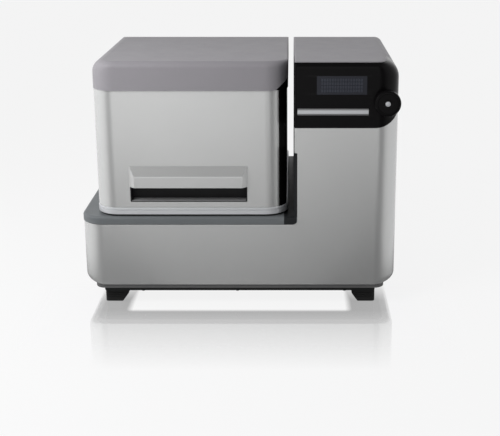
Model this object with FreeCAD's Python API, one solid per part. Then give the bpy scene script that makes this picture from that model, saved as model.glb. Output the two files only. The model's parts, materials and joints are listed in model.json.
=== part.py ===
"""Bench planetary ball mill: a silver L-shaped housing with a control tower on the right,
a grey-topped lid on the left, hinged at the back, and under the lid a sun wheel that carries
one clamped grinding jar and a sliding counterweight. A motor in the tower drives the sun wheel
by a flat ribbed belt, and a second belt round a fixed pulley turns the jar the opposite way.

Millimetres. The origin is on the bench under the middle of the housing; the front faces -Y.
"""

import FreeCAD, Part
import math
import os

V = FreeCAD.Vector

# Overall size of the housing
BODY_W = 615.0  # left side to right side
BODY_D = 470.0  # front face to back face
BODY_H = 484.0  # bench to top
FOOT_H = 28.0
LEDGE_H = 167.0  # bench to the top edge of the low left part
TOWER_W = 200.0
LID_GAP = 11.5  # slot between lid and tower, open from front to back
LID_INSET = 30.0  # from the housing's left side to the lid's
LID_SETBACK = 3.0  # from the housing's front to the lid's
BAND_H = 55.0  # depth of the grey band round the top
WALL = 3.0  # moulded and folded shells
OVERRUN = 5.0  # how far a cutter runs past what it cuts
PLAY = 0.3  # gap between pieces that move past each other
RUN_FIT = 0.05  # radial clearance of a shaft in its bore
SPECK = 0.01  # an outline leaves out straight runs shorter than this
CUT_TOL = 0.001  # tolerance of the cuts that meet along rounded edges

# Rounded edges
CORNER_R = 45.0  # vertical corners of the housing
SLOT_CORNER_R = 6.0  # vertical corners of the tower beside the slot
BOTTOM_R = 16.0  # lower side edges of the housing
BACK_R = 140.0  # large curve from the top into the back
TOP_FRONT_R = 12.0
LID_SIDE_R = 24.0  # top edge on the lid's outer side
TOWER_SIDE_R = 34.0  # top edge on the tower's outer side
SLOT_TOP_R = 4.0  # top edge on both sides of the slot
STEP_R = 8.0  # concave corner of the silver skin below the chamber's surround
LID_CORNER_R = 45.0  # vertical front corners of the lid
LID_REAR_R = 16.0

# Base plate and feet
PLATE_T = 14.0
PLATE_STEP_T = 5.5  # lower, smaller step of the plate
PLATE_INSET = 22.0  # from the housing's sides
PLATE_STEP_INSET = 40.0
PLATE_FRONT_INSET = 3.0
PLATE_LAP = 12.0  # plate under the edge of the housing's floor hole
PLATE_R = 20.0
FOOT_W = 46.0
FOOT_D = 44.0
FOOT_SLANT_W = 12.0  # the foot's inner side slants in towards the bench
FOOT_SLANT_H = 16.0
FOOT_INSET = 39.0  # foot's outer side from the housing's sides
FOOT_INSET_Y = 18.0

# Ledge of the chamber, its rubber seal and its pan
SURROUND_T = 15.0
SURROUND_LIP = 1.0  # how far the ledge stands past the housing
UPSTAND_T = 6.0  # flange of the surround up the tower's side
UPSTAND_H = 142.0  # above the housing's low part
SEAL_T = 4.0
SEAL_W = 8.0
SEAL_INSET = 4.0  # in from the lid's outside
MAIN_FROM_FRONT = 238.0  # front face to the sun wheel's axis
PAN_HALF = 168.0  # main axis to the pan's sides
PAN_R = 40.0
PAN_T = 2.0
PAN_DEPTH = 57.0

# Black panel round the front of the tower's head
FASCIA_H = 122.0
FASCIA_LIP = 4.0  # grey edge left above the panel
FASCIA_CORNER_R = 46.0
FASCIA_WRAP = 92.0  # how far the panel runs back along the side
FASCIA_WRAP_R = 60.0
DISPLAY_W = 95.0
DISPLAY_H = 36.0
DISPLAY_FROM_SLOT = 89.5  # tower's left side to the middle of the display
DISPLAY_DROP = 44.0  # top to the middle of the display
DISPLAY_T = 1.6
DISPLAY_SEAT = 2.0  # width of the step that the glass is glued to
TRIM_L = 140.5
TRIM_H = 13.0
TRIM_DROP = 94.7
TRIM_T = 2.4
TRIM_SINK = 1.4

# Control knob and its encoder
KNOB_R = 25.0
KNOB_T = 15.0
KNOB_LIFT = 2.2  # from the boss to the knob, so that it can be pressed
KNOB_TRAVEL = 1.2
KNOB_FROM_RIGHT = 25.0
KNOB_DROP = 76.0
BOSS_W = 46.0
BOSS_CORNER = 13.0
BOSS_PROUD = 2.0
BOSS_DEPTH = 36.0
ENCODER_W = 14.0
ENCODER_T = 8.0
ENCODER_SHAFT_R = 3.0
ENCODER_HOLE_R = 4.5  # in the boss

# Control board behind the panel
BOARD_W = 120.0
BOARD_H = 70.0
BOARD_T = 1.6
BOARD_STAND_W = 6.0
BOARD_STAND_L = 9.0
BOARD_MARGIN = 6.0
CHIP_W = 18.0
CHIP_T = 3.0
LCD_T = 6.0

# Back panel with fan, louvres, power inlet and switch
OPENING_INSET = 24.0  # from the tower's slot side to the back opening
OPENING_LOW = 72.0
OPENING_HIGH = 312.0
OPENING_R = 6.0
BACK_PANEL_T = 1.5
BACK_PANEL_LAP = 8.0
FAN_W = 80.0
FAN_T = 25.0
FAN_BORE_R = 38.0
FAN_HUB_R = 17.0
FAN_HUB_T = 15.0
FAN_BLADE_R = 36.5
FAN_BLADE_T = 1.6
FAN_BLADES = 5
FAN_TWIST = 38.0  # degrees
FAN_DROP = 57.0  # top of the back opening to the fan's middle
FAN_PLATE_T = 3.0
FAN_STRUT_W = 5.0
FAN_STRUTS = 3
GRILLE_SLOTS = 7
VENT_W = 62.0
VENT_H = 5.0
VENT_PITCH = 10.0
VENTS = 6
VENT_RISE = 130.0  # bench to the lowest louvre
INLET_W = 48.0
INLET_H = 28.0
INLET_RIM = 3.0
INLET_DEPTH = 24.0
SOCKET_W = 25.0
SOCKET_H = 17.0
SOCKET_DEPTH = 16.0
PRONG_W = 2.0
PRONG_L = 11.0
PRONG_PITCH = 7.0
INLET_Z = 100.0
INLET_SHIFT = -28.0  # from the back panel's middle
SWITCH_W = 22.0
SWITCH_H = 28.0
SWITCH_SHIFT = 36.0
SWITCH_DEPTH = 20.0
SWITCH_RIM = 2.5
ROCKER_PIN_R = 1.5
ROCKER_PIN_L = 1.2  # how far each pin reaches into the frame
ROCKER_TILT = 8.0  # degrees each way from its middle

# Drive plate on its pillars
PULLEY_CLEAR = 12.0  # base plate to the pulleys
PULLEY_T = 20.0
PLATE_CLEAR = 20.0  # pulleys to the drive plate
DRIVE_PLATE_T = 10.0
DRIVE_PLATE_HALF_D = 92.0
DRIVE_PLATE_LEFT = 112.0  # from the main axis
DRIVE_PLATE_RIGHT = 84.0  # from the motor axis
PILLAR_W = 18.0
PILLAR_EDGE_X = 32.0  # pillar centre in from the plate's ends
PILLAR_EDGE_Y = 14.0
PILLAR_SHIFT = 12.0  # middle pair to the right, past the big pulley

# Main bearing housing and shaft
HUB_BELOW = 14.0  # below the drive plate
HUB_TOP_Z = 134.0
SHAFT_R = 15.0

# Pulleys and flat ribbed belts
BELT_T = 4.0
MAIN_BELT_W = 16.0
MAIN_PULLEY_R = 75.0
MOTOR_PULLEY_R = 30.0
JAR_BELT_W = 12.0
JAR_PULLEY_T = 14.0
JAR_PULLEY_R = 19.0
FIXED_PULLEY_RATIO = 2.0  # fixed pulley to jar pulley

# Sun wheel
WHEEL_R = 145.0
WHEEL_T = 12.0
WHEEL_CLEAR = 4.0  # over the jar pulley
WHEEL_CAP_W = 40.0
WHEEL_CAP_H = 10.0
ORBIT_R = 74.0  # main axis to jar axis
STATION_BOSS_R = 30.0
STATION_BOSS_H = 18.0

# Jar station
SPINDLE_R = 12.0
PLATFORM_W = 120.0
PLATFORM_CORNER = 34.0
PLATFORM_T = 12.0
PLATFORM_LIFT = 3.0  # over the boss
JAR_R = 46.5
JAR_H = 112.0
JAR_WALL = 8.0
JAR_FLOOR = 9.0
JAR_LID_R = 44.0
JAR_LID_T = 16.0
POST_W = 12.0
POST_D = 26.0
POST_GAP = 1.2  # jar to post
BEAM_T = 18.0
HEADROOM = 24.0  # jar lid to beam
YOKE_CORNER = 14.0
PAD_W = 38.0
PAD_T = 8.0
CLAMP_SCREW_R = 8.0
PAD_TRAVEL = 12.0
STAR_HUB_W = 28.0
STAR_HUB_H = 8.0
STAR_REACH = 36.0
STAR_ARM_W = 17.0
STAR_ROOT = 13.0  # arms meet this far from the axis
STAR_TIP = 4.0  # bevel of the arms' ends
STAR_T = 16.0
STAR_ARMS = 4
SCREW_TOP = 30.0  # clamped screw's end over the beam

# Counterweight
RAIL_W = 30.0
RAIL_H = 8.0
RAIL_STEM_W = 18.0
RAIL_L = 82.0
RAIL_FROM_AXIS = 42.0
WEIGHT_FROM_AXIS = 48.0
WEIGHT_R = 128.0
WEIGHT_W = 128.0
WEIGHT_H = 82.0
WEIGHT_TRAVEL = 12.0
WEIGHT_STEP = 20.0  # bevel along the top

# Motor and inverter
MOTOR_W = 122.0
MOTOR_H = 165.0
MOTOR_CORNER = 16.0
MOTOR_FLANGE_W = 132.0
MOTOR_FLANGE_T = 12.0
MOTOR_CAP_H = 20.0
MOTOR_CAP_INSET = 5.0
MOTOR_SHAFT_R = 9.5
MOTOR_OPENING_W = 50.0  # square opening for the shaft in the drive plate
MOTOR_SHAFT_IN = 90.0  # how far the shaft reaches up inside the motor
MOTOR_BOX_W = 60.0
MOTOR_BOX_T = 20.0
INVERTER_W = 90.0
INVERTER_D = 64.0
INVERTER_H = 160.0
INVERTER_FROM_BACK = 48.0
INVERTER_FINS = 6
INVERTER_FIN_L = 16.0
INVERTER_FIN_T = 3.0

# Lid
SHELL_STEP = 3.0  # grey cap stands past the silver shell
CHEEK_W = 17.5  # black part on the slot side
RAIL_RISE = 13.0  # light rail round the lid's lower edge
RAIL_SIDE_W = 15.0
RAIL_FRONT_W = 44.0
LINER_GAP = 7.0  # shell to liner at the sides and the back
LINER_FRONT_GAP = 30.0
LINER_T = 2.0
HANDLE_W = 228.0
HANDLE_TOP = 282.0  # bench to the top of the hood
HANDLE_H = 41.0
HANDLE_SHIFT = -5.0  # hood's middle from the lid's middle
HOOD_PROUD = 10.0
HOOD_SLOPE_H = 19.0
HOOD_END = 10.0
HOOD_T = 2.5
SLOT_H = 30.5  # open grip below the hood
POCKET_DEPTH = 24.0
POCKET_T = 2.0
POCKET_UP = 26.0  # how far the pocket runs up behind the hood
POCKET_END = 1.0  # pocket shorter than the hood at each end

# Lid hinges
HINGE_W = 230.0
HINGE_MID_W = 130.0
HINGE_R = 6.5
HINGE_PIN_R = 3.5
HINGE_STANDOFF = 0.5
HINGE_LEAF_T = 3.0
HINGE_LEAF_H = 40.0

# Lid lock
STRIKER_T = 5.0
STRIKER_W = 18.0
STRIKER_DROP = 42.0  # below the lid
STRIKER_FROM_SIDE = 42.0  # from the lid's right side
STRIKER_FROM_FRONT = 26.0
STRIKER_HOLE_W = 11.0
STRIKER_CLEAR = 5.0
BOLT_W = 8.0
BOLT_L = 30.0
BOLT_TRAVEL = 12.0
LOCK_GAP = 3.0
LOCK_W = 22.0
LOCK_L = 38.0
LOCK_RISE = 26.0
LOCK_AXIS_DROP = 14.0  # ledge to the bolt's axis

# Levels and places worked out from the sizes above
LEFT, RIGHT = -BODY_W / 2, BODY_W / 2
FRONT, BACK = -BODY_D / 2, BODY_D / 2
FLOOR_Z = FOOT_H + PLATE_T
LEDGE_Z = LEDGE_H + SURROUND_T
RIM_Z = LEDGE_Z + SEAL_T  # underside of the lid
CAP_Z = BODY_H - BAND_H
TOWER_X = RIGHT - TOWER_W
TOWER_MID = TOWER_X + TOWER_W / 2
LID_L, LID_R = LEFT + LID_INSET, TOWER_X - LID_GAP
LID_X = (LID_L + LID_R) / 2
CHEEK_X = LID_R - CHEEK_W
LID_FRONT = FRONT + LID_SETBACK
MAIN_Y = FRONT + MAIN_FROM_FRONT
PULLEY_Z = FLOOR_Z + PULLEY_CLEAR
DRIVE_Z = PULLEY_Z + PULLEY_T + PLATE_CLEAR
DRIVE_TOP = DRIVE_Z + DRIVE_PLATE_T
HUB_LOW = DRIVE_Z - HUB_BELOW
HUB_R = JAR_PULLEY_R * FIXED_PULLEY_RATIO
JAR_PULLEY_TOP = HUB_TOP_Z + JAR_PULLEY_T
WHEEL_Z = JAR_PULLEY_TOP + WHEEL_CLEAR
WHEEL_TOP = WHEEL_Z + WHEEL_T
BOSS_TOP = WHEEL_TOP + STATION_BOSS_H
PLATFORM_Z = BOSS_TOP + PLATFORM_LIFT
PLATFORM_TOP = PLATFORM_Z + PLATFORM_T
JAR_X = LID_X + ORBIT_R
JAR_TOP = PLATFORM_TOP + JAR_H
JAR_LID_TOP = JAR_TOP + JAR_LID_T
BEAM_Z = JAR_LID_TOP + HEADROOM
BEAM_TOP = BEAM_Z + BEAM_T
FASCIA_TOP = BODY_H - FASCIA_LIP
FASCIA_LOW = FASCIA_TOP - FASCIA_H
KNOB_X = RIGHT - KNOB_FROM_RIGHT
KNOB_Z = BODY_H - KNOB_DROP
KNOB_BACK = FRONT - BOSS_PROUD - KNOB_LIFT
KNOB_FACE = KNOB_BACK - KNOB_T
DISPLAY_X = TOWER_X + DISPLAY_FROM_SLOT
DISPLAY_Z = BODY_H - DISPLAY_DROP
OPENING_L, OPENING_R_X = TOWER_X + OPENING_INSET, RIGHT - CORNER_R - BACK_PANEL_LAP
BACK_MID = (OPENING_L + OPENING_R_X) / 2
UPSTAND_X = TOWER_X + UPSTAND_T
FAN_Z = OPENING_HIGH - FAN_DROP
FAN_Y = BACK - WALL - BACK_PANEL_T - FAN_T  # inner face of the fan
ENCODER_Y = FRONT + BOSS_DEPTH
PANEL_Y = BACK - WALL  # outside of the back panel
HANDLE_X = LID_X + HANDLE_SHIFT
HANDLE_LOW = HANDLE_TOP - HANDLE_H
SHELL_FRONT = LID_FRONT + SHELL_STEP
HINGE_Y = BACK + HINGE_R + HINGE_STANDOFF
HINGE_Z = (LEDGE_Z + RIM_Z) / 2
STRIKER_X = LID_R - STRIKER_FROM_SIDE
STRIKER_Y = FRONT + STRIKER_FROM_FRONT
LOCK_X = STRIKER_X + STRIKER_T + LOCK_GAP
LOCK_Y = STRIKER_Y + STRIKER_W / 2
LOCK_Z = LEDGE_H - LOCK_AXIS_DROP
TURN = 360.0
UP = V(0, 0, 1)


# Shapes used all over

def block(x0, x1, y0, y1, z0, z1):
    return Part.makeBox(x1 - x0, y1 - y0, z1 - z0, V(x0, y0, z0))


def rod(radius, start, end):
    return Part.makeCylinder(radius, (end - start).Length, start, end - start)


def post(radius, x, y, low, high):
    return rod(radius, V(x, y, low), V(x, y, high))


def turned(profile, x, y):
    """A solid of revolution about the vertical line through x, y from (radius, height) points."""
    points = [V(x + r, y, z) for r, z in profile]
    return Part.Face(Part.makePolygon(points + points[:1])).revolve(V(x, y, 0), UP, TURN)


def outline(corners, place):
    """A face through (u, v, radius) corners; place turns a flat point into one in space."""
    stops = []
    for i, (u, v, radius) in enumerate(corners):
        here = V(u, v, 0)
        if radius <= 0:
            stops.append((here, None, here))
            continue
        u_back, v_back, _ = corners[i - 1]
        u_on, v_on, _ = corners[(i + 1) % len(corners)]
        back = (V(u_back, v_back, 0) - here).normalize()
        on = (V(u_on, v_on, 0) - here).normalize()
        half = back.getAngle(on) / 2
        reach = radius / math.tan(half)
        crown = here + (back + on).normalize() * (radius / math.sin(half) - radius)
        stops.append((here + back * reach, crown, here + on * reach))
    edges = []
    for i, (start, crown, end) in enumerate(stops):
        if crown is not None:
            edges.append(Part.Arc(place(start), place(crown), place(end)).toShape())
        onward = stops[(i + 1) % len(stops)][0]
        if (onward - end).Length > SPECK:
            edges.append(Part.LineSegment(place(end), place(onward)).toShape())
    return Part.Face(Part.Wire(edges))


def prism(corners, across, low, high):
    """Corners in the plane square to one axis, pushed from low to high along that axis."""
    if across == "x":
        return outline(corners, lambda p: V(low, p.x, p.y)).extrude(V(high - low, 0, 0))
    if across == "y":
        return outline(corners, lambda p: V(p.x, low, p.y)).extrude(V(0, high - low, 0))
    return outline(corners, lambda p: V(p.x, p.y, low)).extrude(V(0, 0, high - low))


def rectangle(u0, u1, v0, v1, low_low, high_low, high_high, low_high):
    """Corners of a rectangle, each with its own radius."""
    return [(u0, v0, low_low), (u1, v0, high_low), (u1, v1, high_high), (u0, v1, low_high)]


def plate(x0, x1, y0, y1, z0, z1, radius):
    return prism(rectangle(x0, x1, y0, y1, radius, radius, radius, radius), "z", z0, z1)


def hexagon(across, x, y, z0, z1):
    reach = across / math.sqrt(3)
    corners = []
    for i in range(6):
        turn = math.radians(TURN * i / 6)
        corners.append((x + reach * math.cos(turn), y + reach * math.sin(turn), 0))
    return prism(corners, "z", z0, z1)


def octagon(u, v, width, corner):
    """Corners of a square of the given width with bevelled corners."""
    half, cut = width / 2, width / 2 - corner
    around = ((-cut, -half), (cut, -half), (half, -cut), (half, cut),
              (cut, half), (-cut, half), (-half, cut), (-half, -cut))
    return [(u + du, v + dv, 0) for du, dv in around]


def joined(shapes):
    return shapes[0].multiFuse(shapes[1:]).removeSplitter()


def save(name, *solids):
    shape = solids[0] if len(solids) == 1 else Part.makeCompound(list(solids))
    if not shape.isValid() or not shape.Solids:
        raise ValueError(name + " is not sound")
    shape.exportStep("parts/" + name + ".step")


# Outer form of housing and lid. Each takes an inset, so the same form gives the inside too.

def low_form(inset):
    """The full-width lower part, with rounded lower side edges."""
    corner, bottom = CORNER_R - inset, BOTTOM_R - inset
    x0, x1 = LEFT + inset, RIGHT - inset
    plan = plate(x0, x1, FRONT + inset, BACK - inset, FLOOR_Z + inset, LEDGE_H - inset, corner)
    face_on = prism(rectangle(x0, x1, FLOOR_Z + inset, LEDGE_H + OVERRUN, bottom, bottom, 0, 0),
                    "y", FRONT, BACK)
    return plan.common(face_on)


def tower_form(inset):
    """The tower: rounded right corners and a large curve from the top into the back."""
    corner, slot, bottom = CORNER_R - inset, SLOT_CORNER_R - inset, BOTTOM_R - inset
    x0, x1, y0, y1 = TOWER_X + inset, RIGHT - inset, FRONT + inset, BACK - inset
    low, top = FLOOR_Z + inset, BODY_H - inset
    plan = prism(rectangle(x0, x1, y0, y1, slot, corner, corner, slot), "z", low, top)
    side_on = prism(rectangle(y0, y1, low, top, 0, 0, BACK_R - inset, TOP_FRONT_R - inset), "x", x0, x1)
    face_on = prism(rectangle(x0, x1, low, top, 0, bottom, TOWER_SIDE_R - inset, SLOT_TOP_R - inset),
                    "y", y0, y1)
    return plan.common(side_on, CUT_TOL).common(face_on, CUT_TOL)


def lid_form(inset, low, front_inset):
    """The lid's outside, or a smaller copy of it, from the height low upwards."""
    front, rear = max(LID_CORNER_R - inset, LID_CORNER_R / 2), max(LID_REAR_R - inset, LID_REAR_R / 2)
    x0, x1, y0, y1 = LID_L + inset, LID_R - inset, LID_FRONT + front_inset, BACK - inset
    top = BODY_H - inset
    plan = prism(rectangle(x0, x1, y0, y1, front, front, rear, rear), "z", low, top)
    side_on = prism(rectangle(y0, y1, low, top, 0, 0, BACK_R - inset, max(TOP_FRONT_R - inset, 0)),
                    "x", x0, x1)
    face_on = prism(rectangle(x0, x1, low, top, 0, 0, max(SLOT_TOP_R - inset, 0), LID_SIDE_R - inset),
                    "y", y0, y1)
    return plan.common(face_on, CUT_TOL).common(side_on, CUT_TOL)


def step_fillet():
    """Fills the concave corner between the low part and the upstand on the front skin."""
    x, z = UPSTAND_X - STEP_R, LEDGE_H + STEP_R
    corner = block(x, UPSTAND_X + WALL, FRONT, FRONT + WALL, LEDGE_H, z)
    return corner.cut(rod(STEP_R, V(x, FRONT - OVERRUN, z), V(x, FRONT + WALL + OVERRUN, z)))


def fascia_zone():
    """Where the black panel is: front and right side of the tower's head."""
    face_on = prism(
        rectangle(TOWER_X - OVERRUN, RIGHT + OVERRUN, FASCIA_LOW, FASCIA_TOP,
                  0, FASCIA_CORNER_R + OVERRUN, 0, 0),
        "y", FRONT - OVERRUN, FRONT + FASCIA_WRAP)
    side_on = prism(
        rectangle(FRONT - OVERRUN, FRONT + FASCIA_WRAP, FASCIA_LOW, FASCIA_TOP,
                  0, FASCIA_WRAP_R, SLOT_CORNER_R, 0),
        "x", TOWER_X - OVERRUN, RIGHT + OVERRUN)
    return face_on.common(side_on)


def cap_zone():
    return block(LEFT, RIGHT + OVERRUN, FRONT - OVERRUN, BACK + OVERRUN, CAP_Z, BODY_H + OVERRUN)


def knob_line(y):
    return V(KNOB_X, y, KNOB_Z)


def boss_space():
    """What the boss of the knob takes up, cut from the skins that it passes through."""
    return prism(octagon(KNOB_X, KNOB_Z, BOSS_W, BOSS_CORNER), "y", FRONT - BOSS_PROUD, FRONT + BOSS_DEPTH)


# Housing

def upstand_space():
    """What the surround's flange takes up along the tower's side."""
    return block(TOWER_X, UPSTAND_X, FRONT, BACK, LEDGE_H, LEDGE_H + UPSTAND_H)


def main_housing():
    outside = low_form(0).fuse(tower_form(0))
    shell = outside.cut(low_form(WALL).fuse(tower_form(WALL))).cut(upstand_space()).fuse(step_fillet())
    hole_inset = PLATE_INSET + PLATE_LAP
    y0, y1 = FRONT + PLATE_R, BACK - PLATE_R
    floor_hole = block(LEFT + hole_inset, RIGHT - hole_inset, y0, y1,
                       FLOOR_Z - OVERRUN, FLOOR_Z + WALL + OVERRUN)
    ledge_hole = block(LEFT + PLATE_R, TOWER_X - WALL, y0, y1, LEDGE_H - WALL - OVERRUN, LEDGE_H + OVERRUN)
    radii = [OPENING_R] * 4
    back_hole = prism(rectangle(OPENING_L, OPENING_R_X, OPENING_LOW, OPENING_HIGH, *radii),
                      "y", BACK - WALL - OVERRUN, BACK + OVERRUN)
    return shell.cut([floor_hole, ledge_hole, back_hole, cap_zone(), fascia_zone(), boss_space()])


def tower_top_cover():
    shell = tower_form(0).cut(tower_form(WALL))
    return shell.common(cap_zone()).cut([fascia_zone(), boss_space()])


def display_rect(inset):
    half_w, half_h = DISPLAY_W / 2 - inset, DISPLAY_H / 2 - inset
    return DISPLAY_X - half_w, DISPLAY_X + half_w, DISPLAY_Z - half_h, DISPLAY_Z + half_h


def display_block(inset, y0, y1):
    x0, x1, z0, z1 = display_rect(inset)
    return block(x0, x1, y0, y1, z0, z1)


def trim_block(y0, y1):
    middle = BODY_H - TRIM_DROP
    return block(TOWER_X + SLOT_CORNER_R, TOWER_X + TRIM_L, y0, y1, middle - TRIM_H / 2, middle + TRIM_H / 2)


def control_fascia():
    """Black panel with the knob's boss, the display's stepped window and the trim's groove."""
    shell = tower_form(0).cut(tower_form(WALL)).common(fascia_zone())
    return shell.fuse(boss_space()).cut([
        rod(ENCODER_HOLE_R, knob_line(FRONT - BOSS_PROUD), knob_line(ENCODER_Y)),
        display_block(0, FRONT - OVERRUN, FRONT + DISPLAY_T),
        display_block(DISPLAY_SEAT, FRONT - OVERRUN, FRONT + WALL + OVERRUN),
        trim_block(FRONT - OVERRUN, FRONT + TRIM_SINK)])


def display_glass():
    return display_block(0, FRONT, FRONT + DISPLAY_T)


def trim_strip():
    return trim_block(FRONT + TRIM_SINK - TRIM_T, FRONT + TRIM_SINK)


def control_board():
    """Board on four stands behind the panel, with the display module and two chips on it."""
    skin, y0 = FRONT + WALL, FRONT + WALL + BOARD_STAND_L
    y1 = y0 + BOARD_T
    x0, x1 = DISPLAY_X - BOARD_W / 2, DISPLAY_X + BOARD_W / 2
    z1 = DISPLAY_Z + DISPLAY_H / 2 + BOARD_MARGIN
    z0 = z1 - BOARD_H
    pieces = [block(x0, x1, y0, y1, z0, z1), display_block(DISPLAY_SEAT * 2, y0 - LCD_T, y0)]
    for x in (x0, x1 - BOARD_STAND_W):
        for z in (z0, z1 - BOARD_STAND_W):
            pieces.append(block(x, x + BOARD_STAND_W, skin, y0, z, z + BOARD_STAND_W))
    for x in (DISPLAY_X - CHIP_W * 2, DISPLAY_X + CHIP_W):
        pieces.append(block(x, x + CHIP_W, y1, y1 + CHIP_T, z0 + CHIP_W, z0 + CHIP_W * 2))
    return joined(pieces)


def encoder_body():
    half = ENCODER_W / 2
    x0, x1, y1 = KNOB_X - half, KNOB_X + half, ENCODER_Y + ENCODER_T
    case = block(x0, x1, ENCODER_Y, y1, KNOB_Z - half, KNOB_Z + half)
    return case.cut(rod(ENCODER_SHAFT_R + RUN_FIT, knob_line(ENCODER_Y), knob_line(y1 - BOARD_T)))


def encoder_shaft():
    """Sliding spindle of the knob; behind its end is the push-button's travel."""
    inner = ENCODER_Y + ENCODER_T - BOARD_T - KNOB_TRAVEL - PLAY
    return rod(ENCODER_SHAFT_R, knob_line(KNOB_FACE + KNOB_T / 2), knob_line(inner))


def control_knob():
    """Knob with a blind bore for the spindle."""
    return rod(KNOB_R, knob_line(KNOB_FACE), knob_line(KNOB_BACK)).cut(
        rod(ENCODER_SHAFT_R + RUN_FIT, knob_line(KNOB_FACE + KNOB_T / 2), knob_line(KNOB_BACK)))


# Base plate and feet

def base_plate():
    """Plate with a smaller step below, which the feet are screwed to."""
    y0, y1, middle = FRONT + PLATE_FRONT_INSET, BACK - PLATE_FRONT_INSET, FOOT_H + PLATE_STEP_T
    upper = plate(LEFT + PLATE_INSET, RIGHT - PLATE_INSET, y0, y1, middle, FLOOR_Z, PLATE_R)
    x0, x1 = LEFT + PLATE_STEP_INSET, RIGHT - PLATE_STEP_INSET
    step = block(x0, x1, y0 + PLATE_T, y1 - PLATE_T, FOOT_H, middle)
    return upper.fuse(step)


def rubber_feet():
    """Four block feet, each with its inner side slanting in towards the bench."""
    feet = []
    for y in (FRONT + FOOT_INSET_Y, BACK - FOOT_INSET_Y - FOOT_D):
        for side in (-1, 1):
            outer = side * (RIGHT - FOOT_INSET)
            inner, toe = outer - side * FOOT_W, outer - side * (FOOT_W - FOOT_SLANT_W)
            feet.append(prism([(outer, 0, 0), (toe, 0, 0), (inner, FOOT_SLANT_H, 0), (inner, FOOT_H, 0),
                               (outer, FOOT_H, 0)], "y", y, y + FOOT_D))
    return feet


# Ledge round the chamber, seal and bowl

def striker_slot():
    return block(STRIKER_X - STRIKER_CLEAR, STRIKER_X + STRIKER_T + STRIKER_CLEAR,
                 STRIKER_Y - STRIKER_CLEAR, STRIKER_Y + STRIKER_W + STRIKER_CLEAR, LEDGE_H, LEDGE_Z)


def pan_block(inset, low, high):
    half = PAN_HALF - inset
    return plate(LID_X - half, LID_X + half, MAIN_Y - half, MAIN_Y + half, low, high, PAN_R - inset)


def chamber_surround():
    """Dark moulding: the ledge that the lid closes on, with a flange up the tower's side."""
    sheet = prism(
        rectangle(LEFT - SURROUND_LIP, UPSTAND_X, FRONT - SURROUND_LIP, BACK, CORNER_R, 0, 0, CORNER_R),
        "z", LEDGE_H, LEDGE_Z)
    flange = prism(rectangle(TOWER_X, UPSTAND_X, FRONT, BACK, SLOT_CORNER_R / 2, 0, 0, SLOT_CORNER_R / 2),
                   "z", LEDGE_H, LEDGE_H + UPSTAND_H)
    return sheet.fuse(flange).cut([striker_slot(), step_fillet(), pan_block(0, LEDGE_H, LEDGE_Z)])


def chamber_pan():
    """Deep-drawn pan that the sun wheel turns in, hung in the ledge."""
    floor = LEDGE_Z - PAN_DEPTH
    return pan_block(0, floor - PAN_T, LEDGE_Z).cut([
        pan_block(PAN_T, floor, LEDGE_Z), post(HUB_R + PLAY, LID_X, MAIN_Y, floor - PAN_T, floor)])


def seal_plan(inset):
    corner = LID_CORNER_R - inset
    return prism(rectangle(LID_L + inset, LID_R - inset, LID_FRONT + inset, BACK - LID_REAR_R / 2 - inset,
                           corner, corner, 0, 0), "z", LEDGE_Z, RIM_Z)


def lid_seal():
    return seal_plan(SEAL_INSET).cut(seal_plan(SEAL_INSET + SEAL_W))


# Drive frame

def drive_plate():
    """Thick plate that carries the bearing cartridge and the motor."""
    sheet = block(LID_X - DRIVE_PLATE_LEFT, TOWER_MID + DRIVE_PLATE_RIGHT, MAIN_Y - DRIVE_PLATE_HALF_D,
                  MAIN_Y + DRIVE_PLATE_HALF_D, DRIVE_Z, DRIVE_TOP)
    half = MOTOR_OPENING_W / 2
    x0, x1, y0, y1 = TOWER_MID - half, TOWER_MID + half, MAIN_Y - half, MAIN_Y + half
    hub_hole = post(HUB_R, LID_X, MAIN_Y, DRIVE_Z, DRIVE_TOP)
    return sheet.cut([hub_hole, block(x0, x1, y0, y1, DRIVE_Z, DRIVE_TOP)])


def frame_pillars():
    left, right = LID_X - DRIVE_PLATE_LEFT + PILLAR_EDGE_X, TOWER_MID + DRIVE_PLATE_RIGHT - PILLAR_EDGE_X
    reach, half = DRIVE_PLATE_HALF_D - PILLAR_EDGE_Y, PILLAR_W / 2
    pillars = []
    for x in (left, (left + right) / 2 + PILLAR_SHIFT, right):
        for y in (MAIN_Y - reach, MAIN_Y + reach):
            pillars.append(block(x - half, x + half, y - half, y + half, FLOOR_Z, DRIVE_Z))
    return pillars


def bearing_cartridge():
    """Bearing cartridge in the drive plate; its top is the fixed pulley of the jar belt."""
    return turned([(SHAFT_R + RUN_FIT, HUB_LOW), (HUB_R, HUB_LOW), (HUB_R, JAR_PULLEY_TOP),
                   (SHAFT_R + RUN_FIT, JAR_PULLEY_TOP)], LID_X, MAIN_Y)


def main_shaft():
    """Shaft turned in one piece with its belt pulley; the sun wheel is bolted on its end."""
    top = PULLEY_Z + PULLEY_T
    return turned([(0, PULLEY_Z), (MAIN_PULLEY_R, PULLEY_Z), (MAIN_PULLEY_R, top), (SHAFT_R, top),
                   (SHAFT_R, WHEEL_Z), (0, WHEEL_Z)], LID_X, MAIN_Y)


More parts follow.
